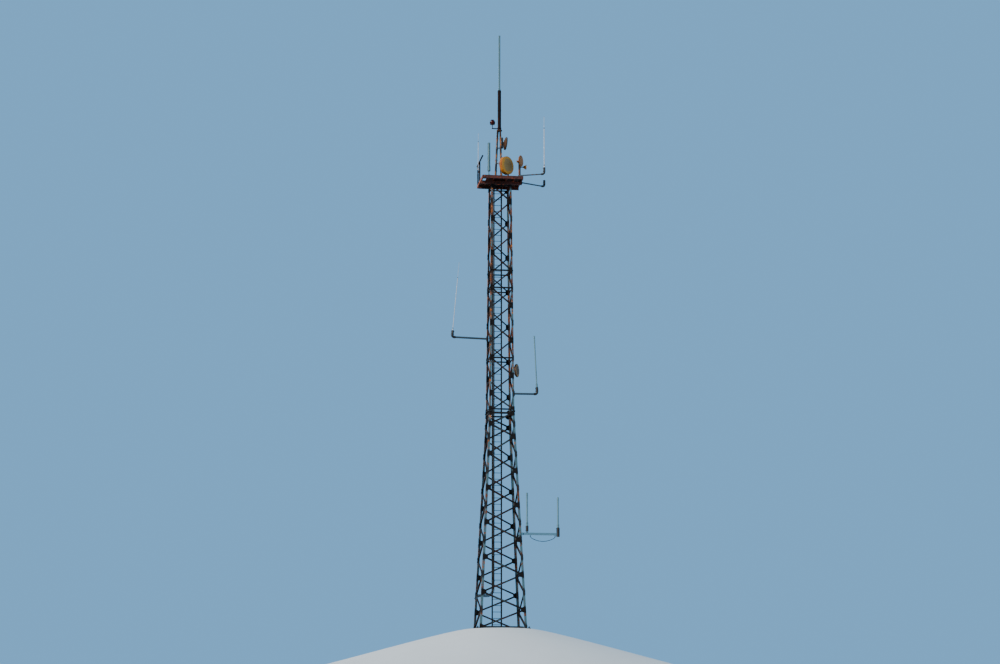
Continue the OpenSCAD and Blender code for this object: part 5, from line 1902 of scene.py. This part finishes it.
@dataclass
class Brackets:
    """U-bolts, bands and bolts that hold the arms, dishes, rails, boots and cables."""

    tower: Tower
    stand: Stand
    arms: Arms

    def build(self, finishes: Finishes) -> None:
        """Makes the fixings of the arms and of the dishes.

        Args:
            finishes: The built materials.
        """
        arms = Solids()
        self._deck_arms(arms)
        self._middle_arms(arms)
        self._lower_arm(arms)
        self._cable_exit(arms)
        arms.piece("arm_fixings", finishes[Slot.GALVANISED])
        mounts = Solids()
        self._dish_mounts(mounts)
        mounts.piece("mount_fixings", finishes[Slot.GALVANISED])
        bands = Solids()
        self._boot_bands(bands)
        self._elbow_wraps(bands)
        bands.piece("boot_bands", finishes.boot)

    def _boot_bands(self, solids: Solids) -> None:
        """Bands the boots and domes their tops round the antennas' feet.

        Args:
            solids: Mesh that they go into.
        """
        left, left_reach = self.arms.left()
        right, right_reach = self.arms.right()
        low = moved(0, -0.805087, 4.45)
        boots = (
            (self.arms.upper() @ moved(1.3, 0, 0.1), 0.055, 0.22, 0.036),
            (self.arms.lower() @ moved(1.318, 0, 0.1), 0.055, 0.22, 0.0),
            (left @ moved(left_reach, 0, 0.1) @ spun(-3.5, Axis.Y), 0.065, 0.22, 0.025),
            (right @ moved(right_reach, 0, 0.1) @ spun(-2.2, Axis.Y), 0.065, 0.22, 0.046),
            (low @ moved(1.17, 0, 0.11), 0.065, 0.25, 0.053),
            (low @ moved(2.645, 0, -0.12), 0.075, 0.42, 0.053),
        )
        for place, radius, height, hole in boots:
            for z in (0.02, height - 0.045):
                band = place @ moved(z=z) @ spun(180)
                solids.hoop(band, radius - BITE, [(0, 0), (0.002, 0.0005), (0.002, 0.0195), (0, 0.02)], 36)
                solids.block(band, (radius, -0.012, 0.002), (radius + 0.022, 0.012, 0.018))
                solids.bolt(band @ moved(radius + 0.012, -0.012, 0.01) @ spun(90, Axis.X), 0.01)
            if hole:
                lip = [(0, 0), (0.008, 0.007), (radius - 0.01 - hole, 0.004), (radius - 0.004 - hole, 0)]
                solids.hoop(place @ moved(z=height - BITE), hole + 0.001, lip, 36)
            else:
                rim, shoulder = radius - 0.004, radius - 0.012
                cap = [(0, 0), (rim, 0), (shoulder, 0.008), (0.5 * radius, 0.014), (0, 0.015)]
                solids.turned(place @ moved(z=height - 0.001), cap, 36)

    def _elbow_wraps(self, solids: Solids) -> None:
        """Wraps the bend at the end of each arm in dark tape, as thick as the boot above it.

        Args:
            solids: Mesh that they go into.
        """
        left, left_reach = self.arms.left()
        right, right_reach = self.arms.right()
        bend = 0.1
        elbows = (
            (self.arms.upper(), 1.3, 0.05),
            (self.arms.lower(), 1.318, 0.05),
            (left, left_reach, 0.06),
            (right, right_reach, 0.06),
        )
        for arm, reach, radius in elbows:
            turns = [math.radians(10 * i) for i in range(10)]
            path = [Vector((reach - bend - 0.05, 0, 0))]
            path += [Vector((reach - bend + bend * math.sin(a), 0, bend - bend * math.cos(a))) for a in turns]
            path += [Vector((reach, 0, bend + 0.03))]
            solids.tube([arm @ point for point in path], radius, 20)

    def _deck_arms(self, solids: Solids) -> None:
        """Clamps the upper deck arm to its saddles and bolts the lower one's plate.

        Args:
            solids: Mesh that they go into.
        """
        upper = self.arms.upper()
        for x in (0.035, 0.135):
            solids.u_bolt(upper @ moved(x) @ spun(90), 0.0345, 0.004, 0.0045, 0.0)
        for y in (-0.526, -0.434):
            for z in (21.585, 21.655):
                solids.bolt(out_along_x(moved(1.0163, y, z)), 0.018)

    def _middle_arms(self, solids: Solids) -> None:
        """Bolts the plates of the two middle arms.

        Args:
            solids: Mesh that they go into.
        """
        tower = self.tower
        left = tower.on_leg(270, 0.045 - tower.half(14.02), 14.02) @ moved(GAP + 0.012)
        right = tower.on_leg(90, 0.07 - tower.half(11.17), 11.17) @ moved(tower.rail_seat + 0.012)
        for place, width in ((left, 0.03), (right, 0.038)):
            for y in (-width, width):
                for z in (-0.102, -0.066, 0.066, 0.102):
                    solids.bolt(out_along_x(place @ moved(0, y, z)), 0.02)

    def _lower_arm(self, solids: Solids) -> None:
        """Bolts the lower rail to the legs and bands the mounts of its antennas.

        Args:
            solids: Mesh that they go into.
        """
        tower = self.tower
        side = tower.lower_side(90)
        half = tower.half(4.45)
        rise = math.cos(math.atan(tower.lower_slope))
        for s in (-1, 1):
            for y in (-0.022, 0.022):
                solids.bolt(side @ moved(s * (half - 0.055), 4.45 / rise + y, tower.rail_seat + 0.05), 0.024)
        axis = moved(0, -0.805087, 4.45)
        solids.block(axis, (1.125, -0.045, 0.055), (1.215, 0.045, 0.065))
        for x in (1.134, 1.206):
            for y in (-0.035, 0.035):
                solids.bolt(axis @ moved(x, y, 0.065), 0.01)
        for x in (1.32, 2.5):
            clip = [(0, 0), (0.003, 0.001), (0.003, 0.013), (0, 0.014)]
            solids.hoop(axis @ moved(x, 0, -0.09), 0.0168, clip, 24)

    def _cable_exit(self, solids: Solids) -> None:
        """Bolts the bracket of the cables and stacks them in a clamp on it.

        Args:
            solids: Mesh that they go into.
        """
        tower = self.tower
        low = 1.5547
        slope = math.atan(tower.lower_slope)
        y = (low - (tower.rail_seat + 0.06) * math.sin(slope)) / math.cos(slope)
        side = tower.lower_side(270)
        for s in (-1, 1):
            for dy in (-0.018, -0.044):
                spot = moved(s * (tower.half(low) - 0.055), y + dy, tower.rail_seat + 0.008)
                solids.bolt(side @ spot, 0.018)
        solids.block(moved(), (-1.082, 0.294, low), (-1.062, 0.338, 1.694), 0.002)
        for z in (low + 0.006, 1.6025, 1.6365, 1.686):
            solids.bolt(moved(-1.072, 0.294, z) @ spun(90, Axis.X), 0.01)

    def _dish_mounts(self, solids: Solids) -> None:
        """Clamps the dishes to the pipe, the stand's legs and the post.

        Args:
            solids: Mesh that they go into.
        """
        large = moved(0.27, -0.8, 22.4) @ spun(-48)
        solids.block(large, (-0.3353, 0.285, -0.07), (-0.3253, 0.42, 0.07))
        for z in (-0.042, 0.042):
            at = large @ axes((0, 1, 0), (1, 0, 0), (-0.275, 0.352, z))
            solids.u_bolt(at, 0.044, 0.078, 0.006, -0.0603)
            for y in (-0.048, 0.048):
                solids.bolt(large @ moved(-0.3253, y, 0.85 * z) @ spun(-90, Axis.Y), 0.018)
        foot = large @ moved(-0.275, 0.352, self.tower.deck_top + GAP - 22.4 + 0.012)
        for turn in CORNERS:
            solids.bolt(foot @ spun(turn) @ moved(0.066), 0.018)
        for middle in (23.46, 23.84):
            for z in (middle - 0.022, middle + 0.022):
                radius = self.stand.foot_radius - self.stand.lean(z - self.stand.base)
                leg = 0.5 * radius
                for side in (-1, 1):
                    place = (self.stand.x + leg, self.stand.y + side * radius * math.sqrt(0.75), z)
                    solids.u_bolt(axes((0, 1, 0), (-1, 0, 0), place), 0.036, 0.13 - leg, 0.005, leg - 0.1107)
        pipe = moved(self.stand.x + 0.1477, self.stand.y, 23.65)
        for z in (-0.03, 0.03):
            solids.u_bolt(pipe @ axes((0, 1, 0), (-1, 0, 0), (0, 0, z)), 0.0432, 0.07, 0.005, -0.053)
        pipe_cap = [(0, 0), (0.0375, 0), (0.0375, 0.006), (0.03, 0.012), (0, 0.013)]
        solids.turned(pipe @ moved(z=0.2695), pipe_cap, 32)
        post = moved(0.85, -0.75, 22.61) @ spun(-30)
        for z in (-0.03, 0.014):
            solids.hoop(post @ moved(z=z), 0.0548, [(0, 0), (0.005, 0.001), (0.005, 0.015), (0, 0.016)], 36)
            solids.block(post, (0.055, -0.01, z), (0.08, 0.01, z + 0.016))
            solids.bolt(post @ moved(0.07, -0.01, z + 0.008) @ spun(90, Axis.X), 0.01)
        post_foot = moved(0.85, -0.75, self.tower.deck_top + GAP + 0.012)
        for x in (-0.08, 0.08):
            for y in (-0.08, 0.08):
                solids.bolt(post_foot @ moved(x, y), 0.02)
        for z, radius in ((22.455, 0.0268), (22.675, 0.0185)):
            at = axes((0, 1, 0), (-1, 0, 0), (-1.035, 0.32, z))
            solids.block(at, (-radius - 0.008, -0.008, -0.03), (radius + 0.008, 0.008, -0.025))
            solids.u_bolt(at, radius, 0.037, 0.003, -0.03)
        middle = self.tower.on_leg(90, 0.094, 12.4) @ moved(0.01075)
        for y in (-0.058, 0.058):
            for z in (-0.058, 0.058):
                solids.bolt(out_along_x(middle @ moved(0, y, z)), 0.018)
        self._middle_stays(solids)

    def _middle_stays(self, solids: Solids) -> None:
        """Stays the rim of the middle dish to the head of its mount, above and below.

        Args:
            solids: Mesh that they go into.
        """
        head = self.tower.on_leg(90, 0.094, 12.4) @ moved(0.06)
        dish = head @ spun(-25) @ moved(0.225)
        for s in (-1, 1):
            washer = [(0, 0), (0.036, 0), (0.036, 0.01), (0, 0.012)]
            solids.turned(head @ moved(z=0.05 * s) @ spun(90 - 90 * s, Axis.X), washer, 32)
            for y in (-0.012, 0.012):
                ends = (head @ Vector((0.0, y, 0.058 * s)), dish @ Vector((-0.066, 8 * y, 0.285 * s)))
                solids.tube(ends, 0.014, 12)
            solids.block(dish, (-0.076, -0.11, 0.275 * s - 0.02), (-0.05, 0.11, 0.275 * s + 0.02), 0.003)


@dataclass
class Feeders:
    """Seals, connectors and clamp bolts of the feeder cables."""

    tower: Tower
    cable_xs: tuple[float, ...] = (-0.336, -0.302, -0.268, -0.234)
    clamp_zs: tuple[float, ...] = (
        2.3, 3.5, 4.3, 5.5, 6.9, 8.4, 9.8, 11.0, 12.3, 13.7, 15.2, 16.8, 18.4, 20.0, 20.8,
    )

    def build(self, finishes: Finishes) -> None:
        """Makes the cable seals and the bolts of the clamps.

        Args:
            finishes: The built materials.
        """
        seals = Solids()
        for i in range(len(self.cable_xs)):
            at = axes((0, 0, 1), (-1, 0, 0), (-1.084, 0.316, 1.671 - 0.034 * i))
            profile = [(0, 0), (0.0155, 0), (0.0165, 0.003), (0.0165, 0.02), (0.012, 0.03), (0, 0.033)]
            seals.turned(at, profile, 24)
        for i, x in enumerate(self.cable_xs[1:]):
            shift = 0.11 * (24.2553 - self.tower.deck_top) / 2.45
            at = moved(x + shift, -0.285, 24.2) @ spun(2.57, Axis.Y)
            waist = [(0, -0.06), (0.0148, -0.06), (0.019, -0.045), (0.019, 0.0)]
            profile = [*waist, (0.0165, 0.004), (0.0165, 0.03), (0, 0.03)]
            seals.turned(at, profile, 24)
        seals.piece("cable_seals", finishes[Slot.JACKET])
        bolts = Solids()
        for z in self.clamp_zs:
            for x in (-0.3645, -0.2055):
                place = moved(x, 0.3017 - 0.0083, z + 0.02) @ spun(90, Axis.X)
                bolts.bolt(place, 0.01)
            for x in (-0.319, -0.285, -0.251):
                bolts.bolt(moved(x, 0.3017 - 0.0083, z + 0.02) @ spun(90, Axis.X), 0.008)
        bolts.piece("clamp_bolts", finishes[Slot.GALVANISED])


@dataclass
class LadderTrim:
    """Nuts on the ends of the ladder's rungs."""

    left: float = -0.29
    right: float = 0.09
    string: float = 0.006
    rung_y: float = 0.37
    first: float = 0.27
    pitch: float = 0.3
    count: int = 72
    nut: float = 0.022

    def build(self, finishes: Finishes) -> None:
        """Makes the nuts.

        Args:
            finishes: The built materials.
        """
        nuts = Solids()
        for i in range(self.count):
            z = self.first + i * self.pitch
            left = out_along_x(moved(self.left - self.string, self.rung_y, z)) @ spun(180, Axis.X)
            nuts.bolt(out_along_x(moved(self.right + self.string, self.rung_y, z)), self.nut)
            nuts.bolt(left, self.nut)
        nuts.piece("rung_nuts", finishes.bracing)


@dataclass
class Stage:
    """A plain pale floor that falls away from the mast's foot, soft lights and the photograph's camera."""

    eye: Point = (-14.6, -99.9, -6.83)
    aim: Point = (0.0, 0.0, 14.27)
    lens: float = 77.0
    sensor: float = 36.0
    seen: Span = (1.0, 3000.0)
    look: str = "AgX - Medium High Contrast"
    level_radius: float = 1.75
    depth: float = 9.6
    spread: float = 27.0
    fall: float = 1.15
    below: float = 0.002
    sides: int = 128
    rings: tuple[float, ...] = (
        0.6, 1.2, 1.75, 2.1, 2.6, 3.3, 4.2, 5.5, 7.5, 10, 14, 19, 26, 36, 50, 70, 100, 150, 230, 400, 900,
    )
    pale: Colour = (0.5, 0.5, 0.49)
    paler: Colour = (0.54, 0.54, 0.53)
    surround: Colour = (0.19, 0.39, 0.62)
    lights: tuple[tuple[str, Point, float, float, Colour], ...] = (
        ("key", (0.72, 0.56, -0.46), 4.2, 6.0, (1.0, 0.93, 0.82)),
        ("fill", (-0.75, 0.5, -0.25), 0.5, 40.0, (0.86, 0.94, 1.0)),
        ("behind", (0.35, -0.8, -0.45), 0.7, 25.0, (1.0, 0.98, 0.95)),
    )

    def place_camera(self) -> None:
        """Makes the camera where the photograph was taken from, and sets the look of its picture."""
        data = bpy.data.cameras.new("photo_camera")
        data.lens = self.lens
        data.sensor_width = self.sensor
        data.clip_start, data.clip_end = self.seen
        camera = bpy.data.objects.new("photo_camera", data)
        bpy.context.scene.collection.objects.link(camera)
        camera.location = self.eye
        way = Vector(self.aim) - Vector(self.eye)
        camera.rotation_euler = way.to_track_quat("-Z", "Y").to_euler()
        bpy.context.scene.camera = camera
        bpy.context.scene.view_settings.look = self.look

    def _floor_z(self, radius: float) -> float:
        """Returns the height of the floor at a distance from the mast."""
        away = max(0.0, radius - self.level_radius)
        return -self.below - self.depth * (1 - math.exp(-((away / self.spread) ** self.fall)))

    def build_floor(self) -> None:
        """Makes the floor."""
        mesh = bmesh.new()
        centre = mesh.verts.new((0, 0, self._floor_z(0)))
        angles = [math.tau * i / self.sides for i in range(self.sides)]
        rings = []
        for radius in self.rings:
            z = self._floor_z(radius)
            rings.append([mesh.verts.new((radius * math.cos(a), radius * math.sin(a), z)) for a in angles])
        for i in range(self.sides):
            j = (i + 1) % self.sides
            mesh.faces.new((centre, rings[0][i], rings[0][j]))
            for low, high in zip(rings, rings[1:]):
                mesh.faces.new((low[i], high[i], high[j], low[j]))
        for face in mesh.faces:
            face.smooth = True
        data = bpy.data.meshes.new("floor")
        mesh.to_mesh(data)
        mesh.free()
        material, graph = new_material("pale_floor")
        mottle = graph.noise(graph.where(), 0.5, 4.0)
        colour = graph.blend(mottle, self.pale, self.paler)
        shade(graph, {"Base Color": colour, "Roughness": 0.9}, mottle, 0.001)
        data.materials.append(material)
        floor = bpy.data.objects.new("floor", data)
        bpy.context.scene.collection.objects.link(floor)
        log.info("floor: %d faces", len(data.polygons))

    def build_light(self) -> None:
        """Makes the key light, the fill, the light behind and the plain soft blue surround."""
        world = bpy.data.worlds.new("studio")
        bpy.context.scene.world = world
        world.use_nodes = True
        background = world.node_tree.nodes["Background"]
        background.inputs["Color"].default_value = (*self.surround, 1.0)
        background.inputs["Strength"].default_value = 1.0
        for name, direction, energy, softness, colour in self.lights:
            data = bpy.data.lights.new(name, "SUN")
            data.energy = energy
            data.angle = math.radians(softness)
            data.color = colour
            light = bpy.data.objects.new(name, data)
            light.rotation_euler = Vector(direction).to_track_quat("-Z", "Y").to_euler()
            bpy.context.scene.collection.objects.link(light)


def dishes() -> list[Dish]:
    """Returns the four dishes where the part has them.

    Returns:
        The dishes, each with the finish of its own radome.
    """
    tower = Tower()
    stand = Stand(tower)
    upper = moved(stand.x + 0.1477, stand.y, 23.65) @ spun(4) @ spun(5, Axis.Y) @ moved(0.195)
    post = moved(0.85, -0.75, 22.61) @ spun(-30) @ moved(0.15, -0.14)
    middle = tower.on_leg(90, 0.094, 12.4) @ moved(0.06) @ spun(-25) @ moved(0.225)
    return [
        Dish("large_dish", moved(0.27, -0.8, 22.4) @ spun(-48), 0.44, 0.18, 16,
             Radome("large_radome", Slot.OCHRE, (0.55, 0.26, 0.03), (0.27, 0.195, 0.09), 0.44), crown=0.02),
        Dish("upper_dish", upper, 0.31, 0.05, 12,
             Radome("upper_radome", Slot.OCHRE, (0.36, 0.2, 0.05), (0.05, 0.05, 0.04), 0.31), painted_shade=True),
        Dish("post_dish", post, 0.26, 0.03, 12,
             Radome("post_radome", Slot.OCHRE, (0.26, 0.1, 0.025), (0.34, 0.14, 0.035), 0.26)),
        Dish("mid_dish", middle, 0.31, 0.06, 12,
             Radome("middle_radome", Slot.OCHRE, (0.32, 0.15, 0.035), (0.045, 0.03, 0.02), 0.31), painted_shade=True),
    ]


def main() -> None:
    """Loads the mast and dresses it, sub-assembly by sub-assembly."""
    logging.basicConfig(level=logging.INFO, format="%(message)s")
    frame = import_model()
    tower = Tower()
    stand = Stand(tower)
    arms = Arms(tower)
    stage = Stage()
    stage.place_camera()
    finishes = Finishes()
    Jumper().build(finishes)
    finishes.dress(frame)
    TowerFastenings(tower).build(finishes)
    Platform(tower).build(finishes)
    stand.build(finishes)
    Rods(tower, stand, arms).build(finishes)
    Lamp(stand).build(finishes)
    for dish in dishes():
        dish.build(finishes)
    Brackets(tower, stand, arms).build(finishes)
    Feeders(tower).build(finishes)
    LadderTrim().build(finishes)
    stage.build_floor()
    stage.build_light()


if __name__ == "__main__":
    main()
